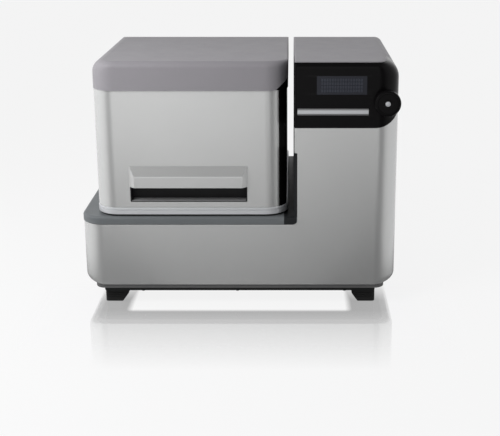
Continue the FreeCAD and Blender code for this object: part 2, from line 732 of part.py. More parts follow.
def belt(x_a, radius_a, x_b, radius_b, low, width):
    """A closed flat belt round two pulleys on a line along X, lying on their faces."""
    sign = math.copysign(1, x_b - x_a)
    lean = math.asin((radius_a - radius_b) / abs(x_b - x_a))

    def loop(off):
        marks = []
        for x, radius in ((x_a, radius_a + off), (x_b, radius_b + off)):
            along, across = sign * radius * math.sin(lean), radius * math.cos(lean)
            for side in (1, -1):
                marks.append(V(x + along, MAIN_Y + side * across, low))
        far_a = V(x_a - sign * (radius_a + off), MAIN_Y, low)
        far_b = V(x_b + sign * (radius_b + off), MAIN_Y, low)
        return Part.Wire([Part.Arc(marks[0], far_a, marks[1]).toShape(),
                          Part.LineSegment(marks[1], marks[3]).toShape(),
                          Part.Arc(marks[3], far_b, marks[2]).toShape(),
                          Part.LineSegment(marks[2], marks[0]).toShape()])

    height = V(0, 0, width)
    outer = Part.Face(loop(PLAY + BELT_T)).extrude(height)
    return outer.cut(Part.Face(loop(PLAY)).extrude(height))


def main_belt():
    low = PULLEY_Z + (PULLEY_T - MAIN_BELT_W) / 2
    return belt(LID_X, MAIN_PULLEY_R, TOWER_MID, MOTOR_PULLEY_R, low, MAIN_BELT_W)


def jar_belt():
    low = HUB_TOP_Z + (JAR_PULLEY_T - JAR_BELT_W) / 2
    return belt(LID_X, JAR_PULLEY_R * FIXED_PULLEY_RATIO, JAR_X, JAR_PULLEY_R, low, JAR_BELT_W)


# Sun wheel, jar station and counterweight

def sun_wheel():
    """Disc with the raised bearing boss of the jar station."""
    disc = post(WHEEL_R, LID_X, MAIN_Y, WHEEL_Z, WHEEL_TOP)
    boss = post(STATION_BOSS_R, JAR_X, MAIN_Y, WHEEL_TOP, BOSS_TOP)
    return disc.fuse(boss).cut(post(SPINDLE_R + RUN_FIT, JAR_X, MAIN_Y, WHEEL_Z, BOSS_TOP))


def wheel_cap():
    """Hexagon of the bolt that holds the wheel on its shaft."""
    return hexagon(WHEEL_CAP_W, LID_X, MAIN_Y, WHEEL_TOP, WHEEL_TOP + WHEEL_CAP_H)


def weight_rail():
    """T-shaped rail on the wheel, opposite the jar."""
    x1 = LID_X - RAIL_FROM_AXIS
    x0, middle = x1 - RAIL_L, WHEEL_TOP + RAIL_H / 2
    stem = block(x0, x1, MAIN_Y - RAIL_STEM_W / 2, MAIN_Y + RAIL_STEM_W / 2, WHEEL_TOP, middle)
    head = block(x0, x1, MAIN_Y - RAIL_W / 2, MAIN_Y + RAIL_W / 2, middle, WHEEL_TOP + RAIL_H)
    return stem.fuse(head).removeSplitter()


def counterweight():
    """Heavy segment that slides along the rail: round towards the bowl, bevelled on top."""
    low, top = WHEEL_TOP + PLAY, WHEEL_TOP + WEIGHT_H
    x0, x1, half = LID_X - WEIGHT_R - OVERRUN, LID_X - WEIGHT_FROM_AXIS, WEIGHT_W / 2
    reach = WEIGHT_R - WEIGHT_STEP
    rough = turned([(0, low), (WEIGHT_R, low), (WEIGHT_R, top - WEIGHT_STEP), (reach, top), (0, top)],
                   LID_X, MAIN_Y)
    segment = rough.common(block(x0, x1, MAIN_Y - half, MAIN_Y + half, low, top))
    middle, end = WHEEL_TOP + RAIL_H / 2, WHEEL_TOP + RAIL_H + PLAY
    neck, head = RAIL_STEM_W / 2 + PLAY, RAIL_W / 2 + PLAY
    return segment.cut([block(x0, x1, MAIN_Y - neck, MAIN_Y + neck, low, middle),
                        block(x0, x1, MAIN_Y - head, MAIN_Y + head, middle - PLAY, end)])


def station_spindle():
    """Jar platform, spindle and jar pulley in one piece."""
    platform = prism(octagon(JAR_X, MAIN_Y, PLATFORM_W, PLATFORM_CORNER), "z", PLATFORM_Z, PLATFORM_TOP)
    return joined([platform, post(SPINDLE_R, JAR_X, MAIN_Y, JAR_PULLEY_TOP, PLATFORM_Z),
                   post(JAR_PULLEY_R, JAR_X, MAIN_Y, HUB_TOP_Z, JAR_PULLEY_TOP)])


def jar_body():
    jar = post(JAR_R, JAR_X, MAIN_Y, PLATFORM_TOP, JAR_TOP)
    return jar.cut(post(JAR_R - JAR_WALL, JAR_X, MAIN_Y, PLATFORM_TOP + JAR_FLOOR, JAR_TOP))


def jar_lid():
    return post(JAR_LID_R, JAR_X, MAIN_Y, JAR_TOP, JAR_LID_TOP)


def clamp_yoke():
    """Two posts and a bevelled beam over the jar."""
    inner = JAR_R + POST_GAP
    outer, half = inner + POST_W, POST_D / 2
    arch = prism([(JAR_X - outer, PLATFORM_TOP, 0), (JAR_X + outer, PLATFORM_TOP, 0),
                  (JAR_X + outer, BEAM_TOP - YOKE_CORNER, 0), (JAR_X + outer - YOKE_CORNER, BEAM_TOP, 0),
                  (JAR_X - outer + YOKE_CORNER, BEAM_TOP, 0), (JAR_X - outer, BEAM_TOP - YOKE_CORNER, 0)],
                 "y", MAIN_Y - half, MAIN_Y + half)
    window = block(JAR_X - inner, JAR_X + inner, MAIN_Y - half, MAIN_Y + half, PLATFORM_TOP, BEAM_Z)
    bore = post(CLAMP_SCREW_R + RUN_FIT, JAR_X, MAIN_Y, BEAM_Z, BEAM_TOP)
    return arch.cut([window, bore])


def clamp_screw():
    """Screw with its pressure pad; it moves up and down as the star handle turns."""
    pad_top = JAR_LID_TOP + PAD_T
    pad = hexagon(PAD_W, JAR_X, MAIN_Y, JAR_LID_TOP, pad_top)
    return pad.fuse(post(CLAMP_SCREW_R, JAR_X, MAIN_Y, pad_top, BEAM_TOP + SCREW_TOP))


def star_handle():
    """Four-armed handle with a threaded hub; it stays on the beam and turns."""
    low = BEAM_TOP + STAR_HUB_H
    half, reach, tip = STAR_ARM_W / 2, STAR_REACH, STAR_TIP
    outline_points = []
    for i in range(STAR_ARMS):
        turn = math.radians(TURN * i / STAR_ARMS)
        along, across = V(math.cos(turn), math.sin(turn), 0), V(-math.sin(turn), math.cos(turn), 0)
        tips = ((reach - tip, -half), (reach, tip - half), (reach, half - tip), (reach - tip, half))
        for out, side in tips:
            point = V(JAR_X, MAIN_Y, 0) + along * out + across * side
            outline_points.append((point.x, point.y, 0))
        diagonal = along + across
        root = V(JAR_X, MAIN_Y, 0) + diagonal * STAR_ROOT
        outline_points.append((root.x, root.y, 0))
    star = prism(outline_points, "z", low, low + STAR_T)
    hub = hexagon(STAR_HUB_W, JAR_X, MAIN_Y, BEAM_TOP, low)
    return star.fuse(hub).cut(post(CLAMP_SCREW_R + RUN_FIT, JAR_X, MAIN_Y, BEAM_TOP, low + STAR_T))


# Motor, inverter and back panel

def motor_body():
    """Square motor with bevelled corners, flange, end cap and terminal box."""
    flange_top, top = DRIVE_TOP + MOTOR_FLANGE_T, DRIVE_TOP + MOTOR_H
    box_y = MAIN_Y - MOTOR_W / 2
    flange = octagon(TOWER_MID, MAIN_Y, MOTOR_FLANGE_W, MOTOR_CORNER / 2)
    case = octagon(TOWER_MID, MAIN_Y, MOTOR_W, MOTOR_CORNER)
    cap = octagon(TOWER_MID, MAIN_Y, MOTOR_W - MOTOR_CAP_INSET * 2, MOTOR_CORNER)
    pieces = [prism(flange, "z", DRIVE_TOP, flange_top), prism(case, "z", flange_top, top),
              prism(cap, "z", top, top + MOTOR_CAP_H),
              block(TOWER_MID - MOTOR_BOX_W / 2, TOWER_MID + MOTOR_BOX_W / 2, box_y - MOTOR_BOX_T, box_y,
                    top - MOTOR_BOX_W, top)]
    bore = post(MOTOR_SHAFT_R + RUN_FIT, TOWER_MID, MAIN_Y, DRIVE_TOP, DRIVE_TOP + MOTOR_SHAFT_IN + PLAY)
    return joined(pieces).cut(bore)


def motor_shaft():
    """Motor shaft with its belt pulley."""
    top = PULLEY_Z + PULLEY_T
    return turned([(0, PULLEY_Z), (MOTOR_PULLEY_R, PULLEY_Z), (MOTOR_PULLEY_R, top), (MOTOR_SHAFT_R, top),
                   (MOTOR_SHAFT_R, DRIVE_TOP + MOTOR_SHAFT_IN), (0, DRIVE_TOP + MOTOR_SHAFT_IN)],
                  TOWER_MID, MAIN_Y)


def inverter():
    """Motor inverter standing on the base plate, its cooling fins towards the fan."""
    y1 = BACK - INVERTER_FROM_BACK - INVERTER_FIN_L
    x0, x1 = BACK_MID - INVERTER_W / 2, BACK_MID + INVERTER_W / 2
    pieces = [block(x0, x1, y1 - INVERTER_D, y1, FLOOR_Z, FLOOR_Z + INVERTER_H)]
    pitch = (INVERTER_W - INVERTER_FIN_T) / (INVERTER_FINS - 1)
    for i in range(INVERTER_FINS):
        x = x0 + pitch * i
        pieces.append(block(x, x + INVERTER_FIN_T, y1, y1 + INVERTER_FIN_L, FLOOR_Z, FLOOR_Z + INVERTER_H))
    return joined(pieces)


def back_panel():
    """Sheet behind the back opening, punched for fan grille, louvres, inlet and switch."""
    lap, y0, y1 = BACK_PANEL_LAP, PANEL_Y - BACK_PANEL_T, PANEL_Y
    sheet = block(OPENING_L - lap, OPENING_R_X + lap, y0, y1, OPENING_LOW - lap, OPENING_HIGH + lap)
    cuts = []
    for i in range(GRILLE_SLOTS):
        rise = (i - (GRILLE_SLOTS - 1) / 2) * VENT_PITCH
        half = math.sqrt(FAN_BORE_R ** 2 - rise ** 2) - BACK_PANEL_T
        cuts.append((half, FAN_Z + rise))
    for i in range(VENTS):
        cuts.append((VENT_W / 2, VENT_RISE + VENT_H / 2 + i * VENT_PITCH))
    slots = [block(BACK_MID - half, BACK_MID + half, y0, y1, z - VENT_H / 2, z + VENT_H / 2)
             for half, z in cuts]
    for x, width, height in ((BACK_MID + INLET_SHIFT, INLET_W, INLET_H),
                             (BACK_MID + SWITCH_SHIFT, SWITCH_W, SWITCH_H)):
        slots.append(block(x - width / 2, x + width / 2, y0, y1, INLET_Z - height / 2, INLET_Z + height / 2))
    return sheet.cut(slots)


def framed_block(x, width, height, rim, depth):
    """A snap-in piece: a rim on the back panel's outside and a body through its hole."""
    rim_x, rim_z = width / 2 + rim, height / 2 + rim
    face = block(x - rim_x, x + rim_x, PANEL_Y, PANEL_Y + rim, INLET_Z - rim_z, INLET_Z + rim_z)
    body = block(x - width / 2, x + width / 2, PANEL_Y - depth, PANEL_Y, INLET_Z - height / 2,
                 INLET_Z + height / 2)
    return face.fuse(body).removeSplitter()


def power_inlet():
    """Appliance inlet: a socket with three flat prongs."""
    x, face = BACK_MID + INLET_SHIFT, PANEL_Y + INLET_RIM
    bottom = face - SOCKET_DEPTH
    shell = framed_block(x, INLET_W, INLET_H, INLET_RIM, INLET_DEPTH)
    inlet = shell.cut(block(x - SOCKET_W / 2, x + SOCKET_W / 2, bottom, face,
                            INLET_Z - SOCKET_H / 2, INLET_Z + SOCKET_H / 2))
    for i in (-1, 0, 1):
        px, pz = x + i * PRONG_PITCH, INLET_Z + (PRONG_W if i == 0 else -PRONG_W)
        inlet = inlet.fuse(block(px - PRONG_W / 2, px + PRONG_W / 2, bottom, bottom + PRONG_L,
                                 pz - PRONG_W, pz + PRONG_W))
    return inlet.removeSplitter()


def rocker_centre():
    """The rocker turns about a line along X behind the switch's face."""
    return V(BACK_MID + SWITCH_SHIFT, PANEL_Y - SWITCH_DEPTH / 2, INLET_Z)


def rocker_pin(gap):
    centre, half = rocker_centre(), SWITCH_W / 2 - SWITCH_RIM + ROCKER_PIN_L + gap
    return rod(ROCKER_PIN_R + gap, centre - V(half, 0, 0), centre + V(half, 0, 0))


def switch_frame():
    x = BACK_MID + SWITCH_SHIFT
    half_w, half_h = SWITCH_W / 2 - SWITCH_RIM, SWITCH_H / 2 - SWITCH_RIM
    well = block(x - half_w, x + half_w, PANEL_Y - SWITCH_DEPTH + SWITCH_RIM, PANEL_Y + SWITCH_RIM,
                 INLET_Z - half_h, INLET_Z + half_h)
    return framed_block(x, SWITCH_W, SWITCH_H, SWITCH_RIM, SWITCH_DEPTH).cut([well, rocker_pin(RUN_FIT)])


def switch_rocker():
    """Rocker with two faces that meet in its middle; it rests tilted to one side."""
    centre = rocker_centre()
    out, drop = SWITCH_DEPTH / 2 + SWITCH_RIM, SWITCH_DEPTH / 4
    tilt = math.radians(ROCKER_TILT)
    well = SWITCH_H / 2 - SWITCH_RIM - PLAY
    half_w, half_h = SWITCH_W / 2 - SWITCH_RIM - PLAY, (well - out * math.sin(tilt)) * math.cos(tilt)
    slope = half_h * math.tan(tilt)
    corners = [(centre.y + out + slope, centre.z - half_h, 0), (centre.y + out, centre.z, 0),
               (centre.y + out + slope, centre.z + half_h, 0), (centre.y - drop, centre.z + half_h / 2, 0),
               (centre.y - drop, centre.z - half_h / 2, 0)]
    rocker = prism(corners, "x", centre.x - half_w, centre.x + half_w).fuse(rocker_pin(0))
    return rocker.rotated(centre, V(1, 0, 0), ROCKER_TILT)


def fan_line(y):
    return V(BACK_MID, y, FAN_Z)


def fan_frame():
    """Square frame with a round duct; three struts carry the hub plate."""
    half = FAN_W / 2
    case = block(BACK_MID - half, BACK_MID + half, FAN_Y, FAN_Y + FAN_T, FAN_Z - half, FAN_Z + half)
    frame = case.cut(rod(FAN_BORE_R, fan_line(FAN_Y), fan_line(FAN_Y + FAN_T)))
    strut = block(BACK_MID - FAN_STRUT_W / 2, BACK_MID + FAN_STRUT_W / 2, FAN_Y, FAN_Y + FAN_PLATE_T,
                  FAN_Z, FAN_Z + FAN_BORE_R + PLAY)
    hub = block(BACK_MID - FAN_HUB_R, BACK_MID + FAN_HUB_R, FAN_Y, FAN_Y + FAN_PLATE_T,
                FAN_Z - FAN_HUB_R, FAN_Z + FAN_HUB_R)
    struts = [strut.rotated(fan_line(FAN_Y), V(0, 1, 0), TURN * i / FAN_STRUTS) for i in range(FAN_STRUTS)]
    return joined([frame, hub] + struts)


def fan_impeller():
    """Hub with twisted blades."""
    y0 = FAN_Y + FAN_PLATE_T + PLAY
    y1 = y0 + FAN_HUB_T
    middle = fan_line((y0 + y1) / 2)
    thick, wide = FAN_BLADE_T / 2, FAN_HUB_T / 2
    blade = block(-thick, thick, -wide, wide, FAN_HUB_R / 2, FAN_BLADE_R)
    blade = blade.rotated(V(0, 0, 0), UP, FAN_TWIST).translated(middle)
    pieces = [rod(FAN_HUB_R, fan_line(y0), fan_line(y1))]
    for i in range(FAN_BLADES):
        pieces.append(blade.rotated(middle, V(0, 1, 0), TURN * i / FAN_BLADES))
    return joined(pieces)


# Lid

def lid_rail():
    """Light rail round the lid's lower edge; shell, cheek and liner stand on it."""
    low, top = RIM_Z, RIM_Z + RAIL_RISE
    front, rear = LID_CORNER_R, LID_REAR_R
    outer = prism(rectangle(LID_L, LID_R, LID_FRONT, BACK, front, front, rear, rear), "z", low, top)
    inner = plate(LID_L + RAIL_SIDE_W, LID_R - RAIL_SIDE_W, LID_FRONT + RAIL_FRONT_W, BACK - RAIL_SIDE_W,
                  low, top, LID_REAR_R / 2)
    return outer.cut(inner)


def lid_skin(step):
    """The lid's outer skin above the rail, set in by step."""
    low = RIM_Z + RAIL_RISE
    return lid_form(step, low, step).cut(lid_form(step + WALL, low, step + WALL))


def pocket_block(inset, y0, y1):
    half = HANDLE_W / 2 - POCKET_END - inset
    return block(HANDLE_X - half, HANDLE_X + half, y0, y1, HANDLE_LOW - SLOT_H + inset,
                 HANDLE_LOW + POCKET_UP - inset)


def cheek_zone():
    return block(CHEEK_X, LID_R + OVERRUN, FRONT, BACK + OVERRUN, LEDGE_H, CAP_Z)


def lid_shell():
    return lid_skin(SHELL_STEP).cut([cap_zone(), cheek_zone(), pocket_block(0, FRONT, FRONT + POCKET_DEPTH)])


def lid_cheek():
    """Black part of the skin beside the slot, with the lid's right front corner."""
    return lid_skin(SHELL_STEP).common(cheek_zone())


def lid_cap():
    """Grey cap over the top, the front band and the curve into the back."""
    return lid_skin(0).common(cap_zone())


def lid_liner():
    low, inset = RIM_Z + RAIL_RISE, WALL + LINER_GAP
    front = WALL + LINER_FRONT_GAP
    return lid_form(inset, low, front).cut(lid_form(inset + LINER_T, low, front + LINER_T))


def handle_pocket():
    """Recess behind the hood for the fingers."""
    back = SHELL_FRONT + POCKET_DEPTH
    return pocket_block(0, SHELL_FRONT, back).cut(pocket_block(POCKET_T, FRONT, back - POCKET_T))


def hood_form(inset):
    """The hood's outside, or its hollow: a sloping top, a low front and bevelled ends."""
    x0, x1 = HANDLE_X - HANDLE_W / 2 + inset, HANDLE_X + HANDLE_W / 2 - inset
    front, top = SHELL_FRONT - HOOD_PROUD + inset, HANDLE_TOP - inset
    side_on = prism([(front, HANDLE_LOW, 0), (SHELL_FRONT, HANDLE_LOW, 0), (SHELL_FRONT, top, 0),
                     (front, top - HOOD_SLOPE_H, 0)], "x", x0, x1)
    plan = prism([(x0, SHELL_FRONT, 0), (x0 + HOOD_END, front, 0), (x1 - HOOD_END, front, 0),
                  (x1, SHELL_FRONT, 0)], "z", HANDLE_LOW, top)
    return side_on.common(plan)


def handle_hood():
    """Pull hood on the lid's front, open below and behind."""
    return hood_form(0).cut(hood_form(HOOD_T))


def hinge_rod(radius, half_from, half_to):
    """A round piece on the hinge line, between two distances from the lid's middle."""
    return rod(radius, V(LID_X + half_from, HINGE_Y, HINGE_Z), V(LID_X + half_to, HINGE_Y, HINGE_Z))


def hinge_leaf(half_from, half_to, z0, z1):
    return block(LID_X + half_from, LID_X + half_to, BACK, BACK + HINGE_LEAF_T, z0, z1)


def hinge_base():
    """Lower leaf with two knuckles and the fixed pin, screwed to the housing's back."""
    end, middle = HINGE_W / 2, HINGE_MID_W / 2 + PLAY
    leaf_top = HINGE_Z - HINGE_R - PLAY
    return joined([hinge_leaf(-end, end, LEDGE_H - HINGE_LEAF_H, leaf_top),
                   hinge_leaf(-end, -middle, leaf_top, HINGE_Z), hinge_leaf(middle, end, leaf_top, HINGE_Z),
                   hinge_rod(HINGE_R, -end, -middle), hinge_rod(HINGE_R, middle, end),
                   hinge_rod(HINGE_PIN_R, -middle, middle)])


def hinge_arm():
    """Upper leaf with the middle knuckle, screwed to the lid's back."""
    end, middle = HINGE_W / 2, HINGE_MID_W / 2
    low = HINGE_Z + HINGE_R + PLAY
    arm = joined([hinge_leaf(-end, end, low, low + HINGE_LEAF_H), hinge_leaf(-middle, middle, HINGE_Z, low),
                  hinge_rod(HINGE_R, -middle, middle)])
    return arm.cut(hinge_rod(HINGE_PIN_R + RUN_FIT, -middle, middle))


def lid_striker():
    """Plate that hangs from the lid's rail into the lock."""
    x0, x1, y0, y1 = STRIKER_X, STRIKER_X + STRIKER_T, STRIKER_Y, STRIKER_Y + STRIKER_W
    half = STRIKER_HOLE_W / 2
    hole = block(x0, x1, LOCK_Y - half, LOCK_Y + half, LOCK_Z - half, LOCK_Z + half)
    return block(x0, x1, y0, y1, RIM_Z - STRIKER_DROP, RIM_Z).cut(hole)


def bolt_block(length_from, length_to, gap):
    half = BOLT_W / 2 + gap
    return block(LOCK_X + length_from, LOCK_X + length_to, LOCK_Y - half, LOCK_Y + half,
                 LOCK_Z - half, LOCK_Z + half)


def lock_case():
    """Solenoid lock hung under the ledge; its bolt comes out towards the striker."""
    case = block(LOCK_X, LOCK_X + LOCK_L, LOCK_Y - LOCK_W / 2, LOCK_Y + LOCK_W / 2,
                 LEDGE_H - LOCK_RISE, LEDGE_H)
    return case.cut(bolt_block(0, BOLT_L + BOLT_W, PLAY))


def lock_bolt():
    return bolt_block(PLAY, BOLT_L, 0)


os.makedirs("parts", exist_ok=True)
save("main_housing", main_housing())
save("tower_top_cover", tower_top_cover())
save("control_fascia", control_fascia())
save("display_glass", display_glass())
save("trim_strip", trim_strip())
save("control_board", control_board())
save("encoder_body", encoder_body())
save("encoder_shaft", encoder_shaft())
save("control_knob", control_knob())
save("base_plate", base_plate())
save("rubber_feet", *rubber_feet())
save("chamber_surround", chamber_surround())
save("chamber_pan", chamber_pan())
save("lid_seal", lid_seal())
save("drive_plate", drive_plate())
save("frame_pillars", *frame_pillars())
save("bearing_cartridge", bearing_cartridge())
save("main_shaft", main_shaft())
save("main_belt", main_belt())
save("jar_belt", jar_belt())
save("sun_wheel", sun_wheel())
save("wheel_cap", wheel_cap())
save("weight_rail", weight_rail())
save("counterweight", counterweight())
save("station_spindle", station_spindle())
save("jar_body", jar_body())
save("jar_lid", jar_lid())
save("clamp_yoke", clamp_yoke())
save("clamp_screw", clamp_screw())
save("star_handle", star_handle())
save("motor_body", motor_body())
save("motor_shaft", motor_shaft())
save("inverter", inverter())
save("back_panel", back_panel())
save("power_inlet", power_inlet())
save("switch_frame", switch_frame())
save("switch_rocker", switch_rocker())
save("fan_frame", fan_frame())
save("fan_impeller", fan_impeller())
save("lid_rail", lid_rail())
save("lid_shell", lid_shell())
save("lid_cheek", lid_cheek())
save("lid_cap", lid_cap())
save("lid_liner", lid_liner())
save("handle_pocket", handle_pocket())
save("handle_hood", handle_hood())
save("hinge_base", hinge_base())
save("hinge_arm", hinge_arm())
save("lid_striker", lid_striker())
save("lock_case", lock_case())
save("lock_bolt", lock_bolt())
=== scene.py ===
"""Bench planetary ball mill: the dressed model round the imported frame. Sizes are millimetres."""

import bmesh
import bpy
import json
import math
from mathutils import Matrix, Vector


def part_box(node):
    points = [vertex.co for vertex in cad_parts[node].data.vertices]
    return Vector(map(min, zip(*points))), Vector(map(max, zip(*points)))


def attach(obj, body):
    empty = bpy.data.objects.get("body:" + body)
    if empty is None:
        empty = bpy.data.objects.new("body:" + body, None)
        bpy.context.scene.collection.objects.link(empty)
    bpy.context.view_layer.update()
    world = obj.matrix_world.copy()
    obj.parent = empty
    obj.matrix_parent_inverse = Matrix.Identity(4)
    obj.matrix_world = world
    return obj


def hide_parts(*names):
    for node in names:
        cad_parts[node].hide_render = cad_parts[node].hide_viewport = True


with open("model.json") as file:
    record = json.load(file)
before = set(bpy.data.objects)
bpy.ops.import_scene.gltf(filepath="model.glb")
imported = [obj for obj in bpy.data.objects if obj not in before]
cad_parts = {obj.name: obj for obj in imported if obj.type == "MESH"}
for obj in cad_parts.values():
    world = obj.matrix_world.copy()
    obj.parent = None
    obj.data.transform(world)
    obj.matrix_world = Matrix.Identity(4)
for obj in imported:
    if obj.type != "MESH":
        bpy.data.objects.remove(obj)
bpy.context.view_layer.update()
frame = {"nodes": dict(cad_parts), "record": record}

MM = 0.001
ARC = 10  # facets in a quarter of a round corner


def span(node):
    """Lowest and highest x, y and z of a node of the frame, in millimetres."""
    low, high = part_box(node)
    return [round(v / MM, 2) for pair in zip(low, high) for v in pair]


# Places read from the frame
LEFT, RIGHT, FRONT, BACK, FLOOR_Z, CAP_Z = span("main_housing")
TOWER_X, _, _, _, _, TOP = span("tower_top_cover")
LIP_X, UPSTAND_X, LIP_Y, _, LEDGE_H, UPSTAND_Z = span("chamber_surround")
_, _, _, _, LEDGE_Z, RIM_Z = span("lid_seal")
LID_L, LID_R, LID_FRONT, _, _, RAIL_Z = span("lid_rail")
CHEEK_X, _, _, _, _, _ = span("lid_cheek")
_, _, _, _, FASCIA_LOW, FASCIA_TOP = span("control_fascia")
GLASS_L, GLASS_R, _, _, GLASS_LOW, GLASS_TOP = span("display_glass")
TRIM_L, TRIM_R, TRIM_FACE, TRIM_BACK, TRIM_LOW, TRIM_TOP = span("trim_strip")
KNOB_L, KNOB_END, KNOB_FACE, KNOB_BACK, KNOB_LOW, KNOB_TOP = span("control_knob")
HOOD_L, HOOD_R, HOOD_FACE, SHELL_FRONT, HOOD_LOW, HOOD_TOP = span("handle_hood")
POCKET_L, POCKET_R, _, POCKET_BACK, POCKET_LOW, POCKET_TOP = span("handle_pocket")
PAN_L, PAN_R, PAN_FRONT, PAN_BACK, PAN_LOW, _ = span("chamber_pan")
PANEL_L, PANEL_R, _, PANEL_Y, PANEL_LOW, PANEL_TOP = span("back_panel")
PLATE_L, PLATE_R, PLATE_FRONT, PLATE_BACK, FOOT_Z, _ = span("base_plate")
WHEEL_L, WHEEL_R, WHEEL_FRONT, WHEEL_BACK, WHEEL_Z, BOSS_TOP = span("sun_wheel")
HUB_L, HUB_R, _, _, _, _ = span("bearing_cartridge")
JAR_L, JAR_R, _, _, JAR_Z, JAR_TOP = span("jar_body")
_, _, _, _, _, JAR_LID_TOP = span("jar_lid")
_, _, _, _, PAD_Z, SCREW_TOP = span("clamp_screw")
STAR_L, STAR_R, _, _, BEAM_TOP, STAR_TOP = span("star_handle")
_, WEIGHT_R, _, _, _, WEIGHT_TOP = span("counterweight")
FAN_L, FAN_R, _, _, FAN_LOW, FAN_TOP = span("fan_frame")
SWITCH_L, SWITCH_R, _, _, SWITCH_LOW, SWITCH_TOP = span("switch_frame")
STRIKER_L, STRIKER_R, STRIKER_FRONT, STRIKER_BACK, _, _ = span("lid_striker")
HINGE_L, HINGE_R, _, _, HINGE_LOW, _ = span("hinge_base")
_, _, _, _, _, ARM_TOP = span("hinge_arm")

# Sizes of the forms, as in the part's source
WALL = 3.0
CORNER_R, SLOT_CORNER_R, BOTTOM_R, BACK_R = 45.0, 6.0, 16.0, 140.0
TOP_FRONT_R, LID_SIDE_R, TOWER_SIDE_R, SLOT_TOP_R, STEP_R = 12.0, 24.0, 34.0, 4.0, 8.0
LID_REAR_R, SHELL_STEP = 16.0, 3.0
FASCIA_CORNER_R, FASCIA_WRAP, FASCIA_WRAP_R = 51.0, 92.0, 60.0
SEAT_T, SEAT_W = 1.6, 2.0  # depth of the display's seat and width of its step
GROOVE_T = 1.4  # depth of the groove for the trim strip
PANEL_RISE = 2.4  # the black panel ends this much higher than its node
BOSS_INSET, BOSS_PROUD, BOSS_DEEP = 1.5, 2.0, 36.0  # round foot under the knob
ENCODER_HOLE_R = 4.5
RAIL_SIDE_W, RAIL_FRONT_W, LAP = 15.0, 44.0, 8.0
WHEEL_BOSS_H, SPINDLE_R = 18.0, 12.05
PLATE_STEP_T, PLATE_CORNER_R = 5.5, 20.0
FOOT_W, FOOT_D, TOE_W, FOOT_SLANT_H, FOOT_INSET_X, FOOT_INSET_Y = 46.0, 44.0, 34.0, 16.0, 39.0, 18.0
PAN_CORNER_R, PAN_T, PAN_BEND = 40.0, 2.0, 14.0
JAR_WALL, JAR_LID_R, THREAD_PITCH = 8.0, 44.0, 3.0
EASE = 0.2  # a piece's edge stays this far back from its neighbour's
GAP = 0.3  # seam between two shells
PAST = 5.0  # how far a cutter runs past what it cuts

# Places worked out from them
LID_X, MAIN_Y = (WHEEL_L + WHEEL_R) / 2, (WHEEL_FRONT + WHEEL_BACK) / 2
JAR_X, JAR_RADIUS = (JAR_L + JAR_R) / 2, (JAR_R - JAR_L) / 2
WHEEL_RADIUS, WHEEL_TOP = (WHEEL_R - WHEEL_L) / 2, BOSS_TOP - WHEEL_BOSS_H
KNOB_X, KNOB_Z = (KNOB_L + KNOB_END) / 2, (KNOB_LOW + KNOB_TOP) / 2
KNOB_RADIUS = (KNOB_TOP - KNOB_LOW) / 2
FAN_X, FAN_Z = (FAN_L + FAN_R) / 2, (FAN_LOW + FAN_TOP) / 2
SWITCH_X, SWITCH_Z = (SWITCH_L + SWITCH_R) / 2, (SWITCH_LOW + SWITCH_TOP) / 2

# Directions
REARWARD, FORWARD, UP, DOWN = (0, 1, 0), (0, -1, 0), (0, 0, 1), (0, 0, -1)


# Building blocks

def new_object(name, bm):
    """An object from a bmesh in millimetres."""
    bmesh.ops.recalc_face_normals(bm, faces=bm.faces)
    bmesh.ops.scale(bm, vec=(MM, MM, MM), verts=bm.verts)
    return linked(name, bm)


def linked(name, bm):
    mesh = bpy.data.meshes.new(name)
    bm.to_mesh(mesh)
    bm.free()
    obj = bpy.data.objects.new(name, mesh)
    bpy.context.scene.collection.objects.link(obj)
    return obj


def bake(obj):
    """Writes the object's modifiers into its mesh."""
    depsgraph = bpy.context.evaluated_depsgraph_get()
    mesh = bpy.data.meshes.new_from_object(obj.evaluated_get(depsgraph))
    old = obj.data
    obj.modifiers.clear()
    obj.data = mesh
    bpy.data.meshes.remove(old)
    return obj


def drop(obj):
    mesh = obj.data
    bpy.data.objects.remove(obj)
    bpy.data.meshes.remove(mesh)


def gather(pieces):
    """Joins several pieces into one mesh, each kept whole."""
    bm = bmesh.new()
    for piece in pieces:
        bm.from_mesh(piece.data)
        drop(piece)
    return linked("gathered", bm)


def boolean(target, tools, operation):
    for tool in tools:
        step = target.modifiers.new("form", "BOOLEAN")
        step.operation, step.object, step.solver = operation, tool, "EXACT"
        bake(target)
        drop(tool)
    return target


def cut(target, *tools):
    return boolean(target, tools, "DIFFERENCE")


def fuse(target, *tools):
    return boolean(target, tools, "UNION")


def common(target, *tools):
    return boolean(target, tools, "INTERSECT")


def aimed(obj, origin, direction=UP):
    """Turns a piece built along +Z to another direction and moves it to its place."""
    turn = Vector(direction).to_track_quat("Z", "Y").to_matrix().to_4x4()
    obj.data.transform(Matrix.Translation(Vector(origin) * MM) @ turn)
    return obj


def skin_between(bm, rings):
    """Faces between neighbouring rings of equally many points."""
    rows = [[bm.verts.new(p) for p in ring] for ring in rings]
    count = len(rows[0])
    for a, b in zip(rows, rows[1:]):
        for i in range(count):
            j = (i + 1) % count
            bm.faces.new((a[i], a[j], b[j], b[i]))
    return rows


def loft(name, rings, closed=True):
    """A solid through rings of equally many points."""
    bm = bmesh.new()
    rows = skin_between(bm, rings)
    if closed:
        bm.faces.new(rows[0])
        bm.faces.new(rows[-1])
    bmesh.ops.remove_doubles(bm, verts=bm.verts, dist=0.002)
    return new_object(name, bm)


def polar(u, v, radius, turn):
    return u + radius * math.cos(turn), v + radius * math.sin(turn)


def circle(u, v, radius, count):
    """Points round a centre in a plane."""
    return [polar(u, v, radius, 2 * math.pi * i / count) for i in range(count)]


